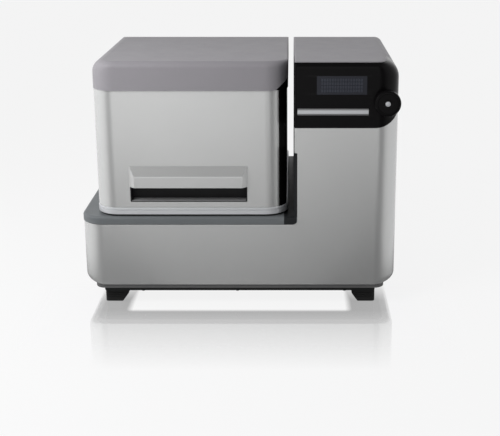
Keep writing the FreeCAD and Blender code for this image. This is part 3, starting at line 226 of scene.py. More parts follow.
def rounded(points):
    """Points of a flat outline from (u, v, radius) corners."""
    out = []
    for i, (u, v, radius) in enumerate(points):
        if radius <= 0:
            out.append((u, v))
            continue
        here = Vector((u, v))
        back = (Vector(points[i - 1][:2]) - here).normalized()
        on = (Vector(points[(i + 1) % len(points)][:2]) - here).normalized()
        half = back.angle(on) / 2
        middle = here + (back + on).normalized() * (radius / math.sin(half))
        start = (here + back * (radius / math.tan(half))) - middle
        end = (here + on * (radius / math.tan(half))) - middle
        sweep = start.angle_signed(end)
        steps = max(2, round(ARC * abs(sweep) / (math.pi / 2)))
        for k in range(steps + 1):
            out.append(tuple(middle + Matrix.Rotation(-sweep * k / steps, 2) @ start))
    return out


def box_corners(u0, u1, v0, v1, radius=0.0):
    return [(u0, v0, radius), (u1, v0, radius), (u1, v1, radius), (u0, v1, radius)]


def prism(corners, across, low, high):
    """Corners in the plane square to one axis, pushed from low to high along that axis."""
    flat = rounded(corners)
    place = {"x": lambda u, v, w: (w, u, v), "y": lambda u, v, w: (u, w, v), "z": lambda u, v, w: (u, v, w)}
    return loft("prism", [[place[across](u, v, w) for u, v in flat] for w in (low, high)])


def block(x0, x1, y0, y1, z0, z1, radius=0.0, across="z"):
    """A box; its four edges along one axis can be round."""
    if across == "z":
        return prism(box_corners(x0, x1, y0, y1, radius), across, z0, z1)
    if across == "y":
        return prism(box_corners(x0, x1, z0, z1, radius), across, y0, y1)
    return prism(box_corners(y0, y1, z0, z1, radius), across, x0, x1)


def turned(profile, steps=64, teeth=0, depth=0.0):
    """A solid of revolution about +Z from (radius, height) points; a negative radius has teeth."""
    rings = []
    for radius, z in profile:
        ring = []
        for i in range(steps):
            turn = 2 * math.pi * i / steps
            reach = abs(radius)
            if radius < 0:
                reach -= depth * (0.5 - 0.5 * math.cos(turn * teeth))
            ring.append((*polar(0, 0, reach, turn), z))
        rings.append(ring)
    bm = bmesh.new()
    skin_between(bm, rings)
    bmesh.ops.remove_doubles(bm, verts=bm.verts, dist=0.0005)
    holes = [edge for edge in bm.edges if edge.is_boundary]
    if holes:
        bmesh.ops.holes_fill(bm, edges=holes, sides=0)
    return new_object("turned", bm)


def rod(radius, start, end, steps=48):
    """A plain round bar between two points, mostly as a cutter."""
    start, end = Vector(start), Vector(end)
    bar = turned([(radius, 0), (radius, (end - start).length)], steps)
    return aimed(bar, start, end - start)


def upright_rod(radius, x, y, low, high, steps=48):
    return rod(radius, (x, y, low), (x, y, high), steps)


def tube(points, radius, steps=10, closed=False):
    """A round wire along points."""
    points = [Vector(p) for p in points]
    count, turns = len(points), [2 * math.pi * k / steps for k in range(steps)]
    rings = []
    side = None
    for i, here in enumerate(points):
        ahead = points[(i + 1) % count] if closed or i + 1 < count else here
        behind = points[i - 1] if closed or i > 0 else here
        along = (ahead - behind).normalized()
        side = along.orthogonal() if side is None else side - along * side.dot(along)
        side.normalize()
        across = along.cross(side)
        rings.append([here + (side * math.cos(turn) + across * math.sin(turn)) * radius for turn in turns])
    if closed:
        rings.append(rings[0])
    return loft("tube", rings, not closed)


def hex_reach(radius, turn):
    """Distance from the axis to a hexagon with that corner radius, at an angle."""
    return radius * math.cos(math.pi / 6) / math.cos(turn % (math.pi / 3) - math.pi / 6)


def screw(origin, direction, radius, height, domed=True):
    """A screw head with a hexagon socket, standing on a surface."""
    steps, socket, rings = 24, 0.5, []
    side = ((1, 0), (1, 0.45), (0.92, 0.78), (0.74, 1)) if domed else ((1, 0), (1, 0.9), (0.95, 1), (0.8, 1))
    for share, rise in side + ((socket, 1), (socket, 0.3)):
        ring = []
        for i in range(steps):
            turn = 2 * math.pi * i / steps
            reach = hex_reach(radius * share, turn) if share == socket else radius * share
            ring.append((*polar(0, 0, reach, turn), height * rise))
        rings.append(ring)
    return aimed(loft("screw", rings), origin, direction)


def inset(z, edge, radius, upward=True):
    """How far an edge of that radius draws in at height z."""
    past = z - (edge - radius) if upward else (edge + radius) - z
    return radius - math.sqrt(max(radius * radius - past * past, 0.0)) if past > 0 else 0.0


def arc_heights(edge, radius, steps, upward=True):
    """Heights of the rings that draw a rounded edge."""
    sign = 1 if upward else -1
    return [edge - sign * radius * (1 - math.sin(math.pi / 2 * i / steps)) for i in range(steps + 1)]


class Form:
    """A body with upright rounded corners and its own rounding along each edge of top and bottom."""

    TINY = 0.25  # a corner is never sharper than this
    RING_GAP = 0.12  # rings closer than this are left out

    def __init__(self, x0, x1, y0, y1, low, top, corners, edges, bottom=0.0, bottom_sides=(True, True)):
        self.place = (x0, x1, y0, y1, low, top)
        self.corners = corners  # front left, front right, rear right, rear left
        self.edges = edges  # left, right, front and back radius along the top
        self.bottom, self.bottom_sides = bottom, bottom_sides

    def ring(self, z, wall):
        """Outline at height z of the body, or of its inside with that wall."""
        x0, x1, y0, y1, low, top = self.place
        x0, x1, y0, y1, low, top = x0 + wall, x1 - wall, y0 + wall, y1 - wall, low + wall, top - wall
        left, right, front, back = (inset(z, top, max(r - wall, 0.0)) for r in self.edges)
        lower = inset(z, low, self.bottom - wall, upward=False) if self.bottom else 0.0
        left = max(left, lower if self.bottom_sides[0] else 0.0)
        right = max(right, lower if self.bottom_sides[1] else 0.0)
        draws = ((left, front), (right, front), (right, back), (left, back))
        x0, x1, y0, y1 = x0 + left, x1 - right, y0 + front, y1 - back
        starts = ((x0, y0, 1, 1, 180), (x1, y0, -1, 1, 270), (x1, y1, -1, -1, 0), (x0, y1, 1, -1, 90))
        points = []
        for (cx, cy, sx, sy, start), radius, (across, along) in zip(starts, self.corners, draws):
            radius = max(radius - wall, self.TINY)
            a, b = max(radius - across, self.TINY), max(radius - along, self.TINY)
            for i in range(ARC + 1):
                turn = math.radians(start + 90 * i / ARC)
                points.append((cx + sx * a + a * math.cos(turn), cy + sy * b + b * math.sin(turn), z))
        return points

    def heights(self, z0, z1, wall):
        low, top = self.place[4] + wall, self.place[5] - wall
        marks = {z0, z1}
        for radius in set(self.edges):
            if radius > wall:
                marks.update(arc_heights(top, radius - wall, max(4, round(4 + radius / 7))))
        if self.bottom:
            marks.update(arc_heights(low, self.bottom - wall, ARC, upward=False))
        kept = []
        for z in sorted(m for m in marks if z0 <= m <= z1):
            if not kept or z - kept[-1] > self.RING_GAP:
                kept.append(z)
        kept[-1] = z1
        return kept

    def solid(self, z0, z1, wall=0.0):
        return loft("form", [self.ring(z, wall) for z in self.heights(z0, z1, wall)])


LID_CORNERS = (CORNER_R, CORNER_R, LID_REAR_R, LID_REAR_R)
LID_EDGES = (LID_SIDE_R, SLOT_TOP_R, TOP_FRONT_R, BACK_R)
LOW = Form(LEFT, RIGHT, FRONT, BACK, FLOOR_Z, LEDGE_H, (CORNER_R,) * 4, (2.5, 0, 2.5, 0), BOTTOM_R)
LOW_INSIDE = Form(LEFT, RIGHT, FRONT, BACK, FLOOR_Z, LEDGE_H, (CORNER_R,) * 4, (0, 0, 0, 0), BOTTOM_R)
TOWER = Form(TOWER_X, RIGHT, FRONT, BACK, FLOOR_Z, TOP, (SLOT_CORNER_R, CORNER_R, CORNER_R, SLOT_CORNER_R),
             (SLOT_TOP_R, TOWER_SIDE_R, TOP_FRONT_R, BACK_R), BOTTOM_R, (False, True))
LEDGE = Form(LIP_X, UPSTAND_X, LIP_Y, BACK, LEDGE_H, LEDGE_Z, (CORNER_R, 1, 1, CORNER_R), (5, 0, 5, 0))
RAIL = Form(LID_L, LID_R, LID_FRONT, BACK, RIM_Z, RAIL_Z, LID_CORNERS, (1.5,) * 4)
LID = Form(LID_L, LID_R, LID_FRONT, BACK, RIM_Z, TOP, LID_CORNERS, LID_EDGES)


# Materials

def node(tree, kind, **inputs):
    """A shader node; a keyword is one of its settings or an input with a number or a colour."""
    made = tree.nodes.new("ShaderNode" + kind)
    for key, value in inputs.items():
        if hasattr(made, key):
            setattr(made, key, value)
        else:
            made.inputs[key.replace("_", " ")].default_value = value
    return made


def fed(tree, made, *sources):
    """Feeds a node's inputs in order from numbers or from other nodes' outputs; gives its output."""
    for socket, source in zip(made.inputs, sources):
        if isinstance(source, bpy.types.NodeSocket):
            tree.links.new(source, socket)
        else:
            socket.default_value = source
    return made.outputs[0]


def combined(tree, operation, first, second):
    return fed(tree, node(tree, "Math", operation=operation), first, second)


def mapped(tree, value, start, end, low, high):
    """Takes a value from the range start to end to the range low to high, and keeps it in that."""
    return fed(tree, node(tree, "MapRange"), value, start, end, low, high)


def mixed(tree, kind, share, first, second):
    """A mix of two shaders or colours."""
    return fed(tree, node(tree, kind), share, first, second)


def colour(rgb):
    return (*rgb, 1.0)


def surface(name, base, vary=0.08, rough=(0.35, 0.45), metallic=0.0, ior=1.45, grain=900.0, bump=0.15,
            depth=0.00004, cloud=9.0, brushed=None, worn=None, wear=0.0, speckle=0.0):
    """A procedural finish: clouded colour, grain in roughness and height, and wear along the edges."""
    made = bpy.data.materials.new(name)
    made.use_nodes = True
    tree = made.node_tree
    link = tree.links.new
    shader = tree.nodes["Principled BSDF"]
    shader.inputs["Metallic"].default_value = metallic
    shader.inputs["IOR"].default_value = ior
    spot = node(tree, "TexCoord").outputs["Object"]
    grain_spot = spot
    if brushed:
        stretch = node(tree, "Mapping", Scale=brushed)
        link(spot, stretch.inputs["Vector"])
        grain_spot = stretch.outputs["Vector"]

    def noise(place, scale, detail, roughness):
        texture = node(tree, "TexNoise", Scale=scale, Detail=detail, Roughness=roughness)
        link(place, texture.inputs["Vector"])
        return texture.outputs["Fac"]

    clouds = noise(spot, cloud, 4.0, 0.55)
    fine = noise(grain_spot, grain, 3.0, 0.6)
    smear = noise(spot, cloud * 3.1, 5.0, 0.7)
    dark, light = (colour([min(c * share, 1.0) for c in base]) for share in (1 - vary, 1 + vary))
    tone = mixed(tree, "MixRGB", mixed(tree, "MixRGB", speckle, clouds, fine), dark, light)
    if wear:
        edge = node(tree, "ValToRGB")
        edge.color_ramp.elements[0].position = 0.54
        edge.color_ramp.elements[1].position = 0.62
        link(node(tree, "NewGeometry").outputs["Pointiness"], edge.inputs["Fac"])
        patchy = combined(tree, "MULTIPLY", edge.outputs["Color"], fine)
        rubbed = combined(tree, "MULTIPLY", patchy, wear)
        tone = mixed(tree, "MixRGB", rubbed, tone, colour(worn or base))
    link(tone, shader.inputs["Base Color"])
    link(mapped(tree, combined(tree, "ADD", smear, fine), 0.6, 1.4, *rough), shader.inputs["Roughness"])
    relief = node(tree, "Bump", Strength=bump, Distance=depth)
    link(fine, relief.inputs["Height"])
    link(relief.outputs["Normal"], shader.inputs["Normal"])
    return made


def grey(level):
    return (level, level, level)


FINISHES = {
    "silver_paint": dict(base=(0.55, 0.555, 0.55), vary=0.03, rough=(0.242, 0.258), metallic=0.62,
                         grain=1500.0, bump=0.06, worn=grey(0.60), wear=0.15, speckle=0.1),
    "grey_cover": dict(base=(0.208, 0.200, 0.214), vary=0.03, rough=(0.42, 0.55), grain=1100.0, bump=0.25,
                       worn=(0.34, 0.33, 0.34), wear=0.3),
    "black_gloss": dict(base=(0.0035, 0.0032, 0.0035), vary=0.15, rough=(0.16, 0.28), ior=1.18, grain=500.0,
                        bump=0.02, worn=grey(0.02), wear=0.3),
    "black_matt": dict(base=(0.010, 0.010, 0.011), vary=0.12, rough=(0.42, 0.58), ior=1.35, grain=1000.0,
                       bump=0.3, worn=grey(0.04), wear=0.5),
    "display": dict(base=(0.013, 0.014, 0.020), vary=0.1, rough=(0.08, 0.14), ior=1.35, grain=300.0,
                    bump=0.01),
    "display_cell": dict(base=(0.026, 0.029, 0.039), vary=0.25, rough=(0.3, 0.4), ior=1.3, cloud=90.0),
    "bright_trim": dict(base=(0.50, 0.51, 0.525), vary=0.02, rough=(0.30, 0.38), metallic=0.35, grain=260.0,
                        bump=0.015, brushed=(0.05, 1.0, 1.0), worn=grey(0.7), wear=0.2),
    "trim_bevel": dict(base=(0.20, 0.20, 0.205), vary=0.03, rough=(0.34, 0.44), metallic=0.4, bump=0.05),
    "board": dict(base=(0.02, 0.12, 0.05), vary=0.2, rough=(0.35, 0.5), grain=300.0),
    "steel": dict(base=(0.52, 0.52, 0.51), vary=0.06, rough=(0.24, 0.38), metallic=0.95, grain=500.0,
                  bump=0.06, brushed=(1.0, 1.0, 0.08), worn=grey(0.7), wear=0.4),
    "plate_steel": dict(base=(0.010, 0.011, 0.011), vary=0.12, rough=(0.5, 0.65), ior=1.25, grain=1300.0,
                        bump=0.35, worn=grey(0.12), wear=0.5),
    "plate_edge": dict(base=grey(0.095), rough=(0.5, 0.6), grain=1300.0, bump=0.3),
    "rubber": dict(base=grey(0.012), vary=0.2, rough=(0.65, 0.85), grain=500.0, bump=0.35, worn=grey(0.04),
                   wear=0.5),
    "dark_casting": dict(base=(0.120, 0.130, 0.136), rough=(0.4, 0.55), metallic=0.2, grain=1000.0, bump=0.3,
                         worn=grey(0.3), wear=0.45),
    # Near-black copy of the dark casting: painted shade in the slot beside the tower, also the flange's own
    # dark colour
    "black_flange_and_slot_shade": dict(base=(0.012, 0.013, 0.014), vary=0.1, rough=(0.4, 0.55), ior=1.3, grain=1000.0,
                        bump=0.2),
    "cast_iron": dict(base=(0.12, 0.125, 0.13), vary=0.15, rough=(0.4, 0.6), metallic=0.4, grain=450.0,
                      bump=0.4, depth=0.0001, worn=grey(0.4), wear=0.6),
    "motor_aluminium": dict(base=(0.30, 0.31, 0.32), vary=0.1, rough=(0.4, 0.55), metallic=0.6, grain=500.0,
                            bump=0.3, worn=grey(0.5), wear=0.4),
    "star_plastic": dict(base=(0.014, 0.014, 0.015), vary=0.15, rough=(0.3, 0.45), bump=0.2, worn=grey(0.08),
                         wear=0.6),
    "liner_plastic": dict(base=(0.46, 0.47, 0.47), vary=0.04, rough=(0.4, 0.5), grain=800.0, bump=0.2),
    # Lighter grey for the floor of the black pull recess: painted light where light falls into the recess
    "grip_floor_painted_light": dict(base=(0.26, 0.26, 0.265), vary=0.05, metallic=0.3, bump=0.1),
    "white_mark": dict(base=grey(0.60), vary=0.05, rough=(0.5, 0.6), grain=800.0),
}
FINISH = {name: surface(name, **look) for name, look in FINISHES.items()}


# Finishing a piece

def softened(obj, width, segments=2):
    """Rounds the sharp edges of a piece; width in millimetres."""
    step = obj.modifiers.new("edges", "BEVEL")
    step.width, step.segments = width * MM, segments
    step.limit_method, step.angle_limit = "ANGLE", math.radians(38)
    step.use_clamp_overlap = True
    return bake(obj)


def shade(obj):
    """Smooth faces with sharp edges where the form turns."""
    obj.data.polygons.foreach_set("use_smooth", [True] * len(obj.data.polygons))
    obj.data.set_sharp_from_angle(angle=math.radians(32))
    step = obj.modifiers.new("normals", "WEIGHTED_NORMAL")
    step.keep_sharp, step.weight = True, 50


def done(obj, name, body, slot, *nodes, width=0.5, segments=2, finish=None):
    """Names, softens, paints and places a piece on its body; nodes are what it stands for."""
    obj.name = obj.data.name = name
    if width:
        softened(obj, width, segments)
    shade(obj)
    obj.data.materials.clear()
    obj.data.materials.append(FINISH[finish or slot])
    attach(obj, body)
    if nodes:
        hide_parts(*nodes)
    return obj


def screws(name, body, places, direction, radius, height, domed=True, finish=None):
    """One piece of like screws."""
    heads = [screw(place, direction, radius, height, domed) for place in places]
    return done(gather(heads), name, body, "steel", width=0, finish=finish)


# Housing

def fascia_zone(gap=0.0):
    """The space of the black panel: front and right side of the tower's head."""
    low, top, deep = FASCIA_LOW + gap, FASCIA_TOP + PANEL_RISE - gap, FRONT + FASCIA_WRAP - gap
    face_on = prism([(TOWER_X - PAST, low, 0), (RIGHT + PAST, low, FASCIA_CORNER_R - gap),
                     (RIGHT + PAST, top, 0), (TOWER_X - PAST, top, 0)], "y", FRONT - PAST, deep)
    side_on = prism([(FRONT - PAST, low, 0), (deep, low, FASCIA_WRAP_R - gap), (deep, top, SLOT_CORNER_R),
                     (FRONT - PAST, top, 0)], "x", TOWER_X - PAST, RIGHT + PAST)
    return common(face_on, side_on)


def knob_rod(radius, low, high, steps=64):
    return rod(radius, (KNOB_X, low, KNOB_Z), (KNOB_X, high, KNOB_Z), steps)


def boss_rod(gap=0.0):
    """Round foot of the knob, which meets the tower's rounded corner."""
    return knob_rod(KNOB_RADIUS - BOSS_INSET + gap, FRONT - BOSS_PROUD, FRONT + BOSS_DEEP)


def step_fillet(gap=0.0):
    """Concave corner of the silver skin below the dark upstand."""
    x, z, points = UPSTAND_X - STEP_R, LEDGE_H + STEP_R, []
    for i in range(ARC + 1):
        turn = math.pi / 2 * i / ARC
        points.append((x + STEP_R * math.cos(turn), z - STEP_R * math.sin(turn)))
    points += [(x, LEDGE_H - PAST), (UPSTAND_X + WALL, LEDGE_H - PAST), (UPSTAND_X + WALL, z)]
    return loft("fillet", [[(u, w, v) for u, v in points] for w in (FRONT - gap, FRONT + WALL + gap)])


def housing():
    """Low part and tower in one skin, open to the plate, the chamber, the back panel and the black panel."""
    seam_z = FLOOR_Z + 70  # the tower's form starts inside the low part
    floor_rim, side_rim, wall_past = 34, 20, WALL + PAST
    outside = fuse(LOW.solid(FLOOR_Z, LEDGE_H), TOWER.solid(seam_z, CAP_Z))
    hollow = fuse(LOW_INSIDE.solid(FLOOR_Z + WALL, LEDGE_H - WALL, WALL),
                  TOWER.solid(seam_z, CAP_Z + PAST, WALL))
    upstand_seat = block(TOWER_X - PAST, UPSTAND_X, FRONT - PAST, BACK + PAST, LEDGE_H, UPSTAND_Z)
    skin = fuse(cut(outside, hollow, upstand_seat), step_fillet())
    skin = cut(skin,
               block(LEFT + floor_rim, RIGHT - floor_rim, FRONT + side_rim, BACK - side_rim,
                     FLOOR_Z - PAST, FLOOR_Z + wall_past),
               block(LEFT + side_rim, TOWER_X - WALL, FRONT + side_rim, BACK - side_rim,
                     LEDGE_H - wall_past, LEDGE_H + PAST),
               block(PANEL_L + LAP, PANEL_R - LAP, BACK - wall_past, BACK + PAST,
                     PANEL_LOW + LAP, PANEL_TOP - LAP, 6, "y"),
               fascia_zone(), boss_rod(EASE))
    return done(skin, "housing_skin", "machine", "silver_paint", "main_housing", width=1.4, segments=3)


def tower_cover():
    inside = TOWER.solid(CAP_Z - PAST, TOP - WALL, WALL)
    cover = cut(TOWER.solid(CAP_Z, TOP), inside, fascia_zone(), boss_rod(EASE))
    return done(cover, "tower_cover", "machine", "grey_cover", "tower_top_cover", width=0.6)


def control_panel():
    """Black panel with the knob's foot, the display's stepped window and the strip's groove."""
    panel = cut(TOWER.solid(FASCIA_LOW - 10, TOP), TOWER.solid(FASCIA_LOW - 15, TOP - WALL, WALL))
    panel = fuse(common(panel, fascia_zone(GAP)), boss_rod())
    panel = cut(panel, knob_rod(ENCODER_HOLE_R, FRONT - PAST, FRONT + 40, 32),
                block(GLASS_L, GLASS_R, FRONT - PAST, FRONT + SEAT_T, GLASS_LOW, GLASS_TOP),
                block(GLASS_L + SEAT_W, GLASS_R - SEAT_W, FRONT - PAST, FRONT + WALL + PAST,
                      GLASS_LOW + SEAT_W, GLASS_TOP - SEAT_W),
                block(TRIM_L, TRIM_R, FRONT - PAST, FRONT + GROOVE_T, TRIM_LOW, TRIM_TOP))
    return done(panel, "control_panel", "machine", "black_gloss", "control_fascia", width=0.4)


def display():
    """Glass with a dark border and the faint character cells of a text display."""
    glass = block(GLASS_L + EASE, GLASS_R - EASE, FRONT + 0.25, FRONT + SEAT_T,
                  GLASS_LOW + EASE, GLASS_TOP - EASE)
    done(glass, "display_window", "machine", "display", "display_glass", width=0.3)
    cells, columns, rows = [], 16, 4
    side_rim, rim, side_gap, gap = 8, 4.5, 0.5, 0.6
    x0, x1, z0, z1 = GLASS_L + side_rim, GLASS_R - side_rim, GLASS_LOW + rim, GLASS_TOP - rim
    wide, tall = (x1 - x0) / columns, (z1 - z0) / rows
    for i in range(columns):
        for j in range(rows):
            x, z = x0 + wide * i, z0 + tall * j
            cells.append(block(x + side_gap, x + wide - side_gap, FRONT + 0.17, FRONT + 0.3,
                               z + gap, z + tall - gap, 0.4, "y"))
    return done(gather(cells), "display_cells", "machine", "display", width=0, finish="display_cell")


def panel_strip():
    """Satin strip under the display with two darker bevels."""
    face, back, middle, half = TRIM_FACE, TRIM_BACK, (TRIM_LOW + TRIM_TOP) / 2, 3.5
    x0, x1, low, top = TRIM_L + EASE, TRIM_R - EASE, TRIM_LOW + EASE, TRIM_TOP - EASE
    core = prism([(face, middle - half, 0.4), (back, middle - half, 0), (back, middle + half, 0),
                  (face, middle + half, 0.4)], "x", x0, x1)
    done(core, "panel_strip", "machine", "bright_trim", "trim_strip", width=0.2)
    sides = [prism([(face + 0.7, outer, 0), (back, outer, 0), (back, inner, 0), (face + 0.1, inner, 0)],
                   "x", x0, x1)
             for outer, inner in ((top, middle + half + 0.1), (low, middle - half - 0.1))]
    return done(gather(sides), "panel_strip_bevels", "machine", "bright_trim", width=0.15,
                finish="trim_bevel")


def select_knob():
    """Turned knob with a finely ribbed side and a small satin centre."""
    r, deep = KNOB_RADIUS, KNOB_BACK - KNOB_FACE
    ribbed_side = [(0, 0), (r - 1.8, 0), (r - 0.4, 0.6), (-r, 1.4), (-r, deep - 4.4), (r - 0.2, deep - 3.6)]
    rounded_rim = [(r - 0.7, deep - 2.0), (r - 1.8, deep - 0.7), (r - 3.5, deep), (r - 5.2, deep)]
    groove = [(r - 5.6, deep - 0.5), (r - 6.2, deep - 0.5), (r - 6.6, deep)]
    dished_face = [(9.4, deep), (8.6, deep - 0.7), (0, deep - 1.6)]
    knob = turned(ribbed_side + rounded_rim + groove + dished_face, 360, 90, 0.35)
    aimed(knob, (KNOB_X, KNOB_BACK, KNOB_Z), FORWARD)
    done(knob, "select_knob", "knob", "black_matt", "control_knob", width=0, finish="black_gloss")
    dot = turned([(0, 0), (5.0, 0), (5.0, 0.9), (4.6, 1.3), (3.2, 1.7), (1.6, 1.95), (0, 2.05)], 48)
    aimed(dot, (KNOB_X, KNOB_FACE + 2.2, KNOB_Z), FORWARD)
    return done(dot, "knob_centre", "knob", "steel", width=0, finish="bright_trim")


def base_plate():
    """Two-step plate with the screws that hold the feet and the housing."""
    step_z, step_in = FOOT_Z + PLATE_STEP_T, 18
    upper = block(PLATE_L, PLATE_R, PLATE_FRONT, PLATE_BACK, step_z, FLOOR_Z, PLATE_CORNER_R)
    done(upper, "bottom_plate", "machine", "plate_steel", "base_plate", width=0.8, finish="plate_edge")
    # The lower step stays near black under the lighter grey upper plate: painted shade under the plate's
    # edge.
    lower = block(PLATE_L + step_in, PLATE_R - step_in, PLATE_FRONT + 1, PLATE_BACK - 14, FOOT_Z, step_z, 6)
    done(lower, "bottom_plate_step_painted_shade", "machine", "plate_steel", width=0.4)
    places = [(x, y, FOOT_Z) for x in (-191.5, -4.5, 207.5) for y in (PLATE_FRONT + 9, PLATE_BACK - 22)]
    return screws("bottom_screws", "machine", places, DOWN, 4.2, 2.8, finish="plate_steel")


def foot(outer, y, side):
    """Moulded block foot: its inner side slants in towards the bench, three grooves run round it."""
    inner, toe, groove, groove_h = outer - side * FOOT_W, outer - side * TOE_W, 0.8, 1.4
    corners = [(outer, 0, 2), (toe, 0, 2), (inner, FOOT_SLANT_H, 3), (inner, FOOT_Z, 0), (outer, FOOT_Z, 0)]
    x0, x1 = sorted((inner, outer))
    body = prism(corners, "y", y, y + FOOT_D)
    shape = common(body, block(x0, x1, y, y + FOOT_D, -PAST, FOOT_Z + PAST, 6))
    groove_x0, groove_x1 = sorted((outer - side * groove, outer + side * PAST))
    for z in (9.0, 13.0, 17.0):
        shape = cut(shape, block(groove_x0, groove_x1, y - PAST, y + FOOT_D + PAST, z, z + groove_h),
                    block(x0 - PAST, x1 + PAST, y - PAST, y + groove, z, z + groove_h))
    return shape


def feet():
    front, rear = FRONT + FOOT_INSET_Y, BACK - FOOT_INSET_Y - FOOT_D
    for side, across in ((-1, "left"), (1, "right")):
        for y, along in ((front, "front"), (rear, "rear")):
            piece = foot(side * (RIGHT - FOOT_INSET_X), y, side)
            done(piece, "foot_%s_%s" % (across, along), "machine", "rubber", "rubber_feet", width=0.9)


# Ledge, upstand, seal and pan

def pan_corners(step):
    corner = max(PAN_CORNER_R - step, 4)
    return box_corners(PAN_L + step, PAN_R - step, PAN_FRONT + step, PAN_BACK - step, corner)


def ledge_sheet():
    opening, room = prism(pan_corners(0), "z", LEDGE_H - PAST, LEDGE_Z + PAST), 5
    striker_hole = block(STRIKER_L - room, STRIKER_R + room, STRIKER_FRONT - room, STRIKER_BACK + room,
                         LEDGE_H - 2, LEDGE_Z + PAST)
    return cut(LEDGE.solid(LEDGE_H, LEDGE_Z), step_fillet(PAST), opening, striker_hole)


def slot_zone():
    return block(LID_R - 8, TOWER_X + PAST, FRONT - PAST, BACK + PAST, LEDGE_H - PAST, LEDGE_Z + PAST)


def ledge():
    """Ledge round the pan. Its end in the slot and the flange up the tower are near black: painted shade in
    the slot between lid and tower, on the flange partly its own dark colour.
    """
    sheet, painted_shade_slot_end = cut(ledge_sheet(), slot_zone()), common(ledge_sheet(), slot_zone())
    done(sheet, "chamber_ledge", "machine", "dark_casting", "chamber_surround", width=0.6)
    # The slot end is the ledge in near black: painted shade in the slot between lid and tower.
    done(painted_shade_slot_end, "ledge_slot_end", "machine", "dark_casting", width=0.6, finish="black_flange_and_slot_shade")
    # The flange up the tower takes the same near black: partly its own dark colour, partly painted shade of
    # the slot.
    upstand = block(TOWER_X, UPSTAND_X - EASE, FRONT, BACK, LEDGE_H + STEP_R, UPSTAND_Z, 1.5)
    return done(upstand, "tower_upstand", "machine", "dark_casting", width=0.5, finish="black_flange_and_slot_shade")


def pan():
    """Deep-drawn pan with a round bottom edge and a collar for the hub."""
    floor, bend = PAN_LOW + PAN_T, PAN_BEND
    profile = [(bend - run, PAN_LOW + bend - bend * math.sqrt(max(0.0, 1 - (run / bend) ** 2)))
               for run in (0, 3, 6, 9, 11.5, 13.2, bend)]
    profile += [(0, LEDGE_Z), (PAN_T, LEDGE_Z)]
    for i in range(7):
        turn = math.pi / 2 * i / 6
        profile.append((PAN_T + bend * (1 - math.cos(turn)), floor + bend * (1 - math.sin(turn))))
    shell = loft("pan", [[(u, v, z) for u, v in rounded(pan_corners(step))] for step, z in profile])
    hole = (HUB_R - HUB_L) / 2 + GAP
    shell = cut(shell, upright_rod(hole, LID_X, MAIN_Y, PAN_LOW - PAST, floor + PAST, 72))
    done(shell, "chamber_tray", "machine", "dark_casting", "chamber_pan", width=0)
    reach = (HUB_R - HUB_L) / 2
    collar = turned([(hole, 0), (reach + 6, 0), (reach + 6, 2.4), (reach + 4, 3.2), (reach + 2.6, 9),
                     (hole, 9), (hole, 0)], 72)
    aimed(collar, (LID_X, MAIN_Y, floor - 0.4))
    return done(collar, "hub_collar", "machine", "dark_casting", width=0.2)


def seal():
    """Rubber seal: a flat foot with two soft lips."""
    rim, front, rear, front_r, rear_r = 4, LID_FRONT + 4, BACK - 12, 41, 3

    def ring(step, z):
        corners = [(LID_L + rim + step, front + step, front_r - step),
                   (LID_R - rim - step, front + step, front_r - step),
                   (LID_R - rim - step, rear - step, rear_r), (LID_L + rim + step, rear - step, rear_r)]
        return [(u, v, LEDGE_Z + z) for u, v in rounded(corners)]

    outer_lip = [(0, 0), (0, 1.4), (0.8, 1.8), (0.6, 3.6), (1.2, 4.0), (2.2, 3.8), (2.6, 1.8)]
    inner_lip = [(5.4, 1.8), (5.8, 3.8), (6.8, 4.0), (7.4, 3.6), (7.2, 1.8), (8, 1.4), (8, 0), (0, 0)]
    strip = loft("seal", [ring(step, z) for step, z in outer_lip + inner_lip], closed=False)
    return done(strip, "chamber_seal", "machine", "rubber", "lid_seal", width=0)


# Lid

def lid_rail():
    """Rail round the lid's lower edge with a fine groove along it."""
    groove_z, groove_h, groove_t = RIM_Z + 7.6, 1.1, 0.9
    band = RAIL.solid(groove_z, groove_z + groove_h)
    groove = cut(band, RAIL.solid(groove_z - 1, groove_z + 2, groove_t))
    opening = block(LID_L + RAIL_SIDE_W, LID_R - RAIL_SIDE_W, LID_FRONT + RAIL_FRONT_W, BACK - RAIL_SIDE_W,
                    RIM_Z - PAST, RAIL_Z + PAST, 8)
    ring = cut(RAIL.solid(RIM_Z, RAIL_Z), opening, groove)
    return done(ring, "lid_base_rail", "lid", "bright_trim", "lid_rail", width=0.5)


def cheek_zone(gap):
    return block(CHEEK_X + gap, LID_R + PAST, LID_FRONT - PAST, BACK + PAST, RIM_Z - PAST, CAP_Z)


def pocket_block(wall, y0, y1):
    return block(POCKET_L + wall, POCKET_R - wall, y0, y1, POCKET_LOW + wall, POCKET_TOP - wall, 2.0, "y")


def lid_skin():
    """Side walls of the lid, a step in from the rail and the cap except on the left."""
    step, left = SHELL_STEP, LID_L + 0.6
    form = Form(left, LID_R - step, LID_FRONT + step, BACK - step, RIM_Z, TOP - step,
                [r - step for r in LID_CORNERS], [r - step for r in LID_EDGES])
    return cut(form.solid(RAIL_Z, CAP_Z), form.solid(RAIL_Z - PAST, CAP_Z + PAST, WALL))


def cheek_wedge(gap):
    """The cap's lower edge rises over the black cheek; this is the space below that edge."""
    start, below, rise = CHEEK_X - 6 + gap, CAP_Z - 4, 24
    corners = [(start, CAP_Z - gap, 0), (start, below, 0), (LID_R + PAST, below, 0),
               (LID_R + PAST, CAP_Z + rise - gap, 0)]
    return prism(corners, "y", LID_FRONT - PAST, BACK + PAST)


def cap_skin():
    return cut(LID.solid(CAP_Z, TOP), LID.solid(CAP_Z - PAST, TOP - WALL, WALL))


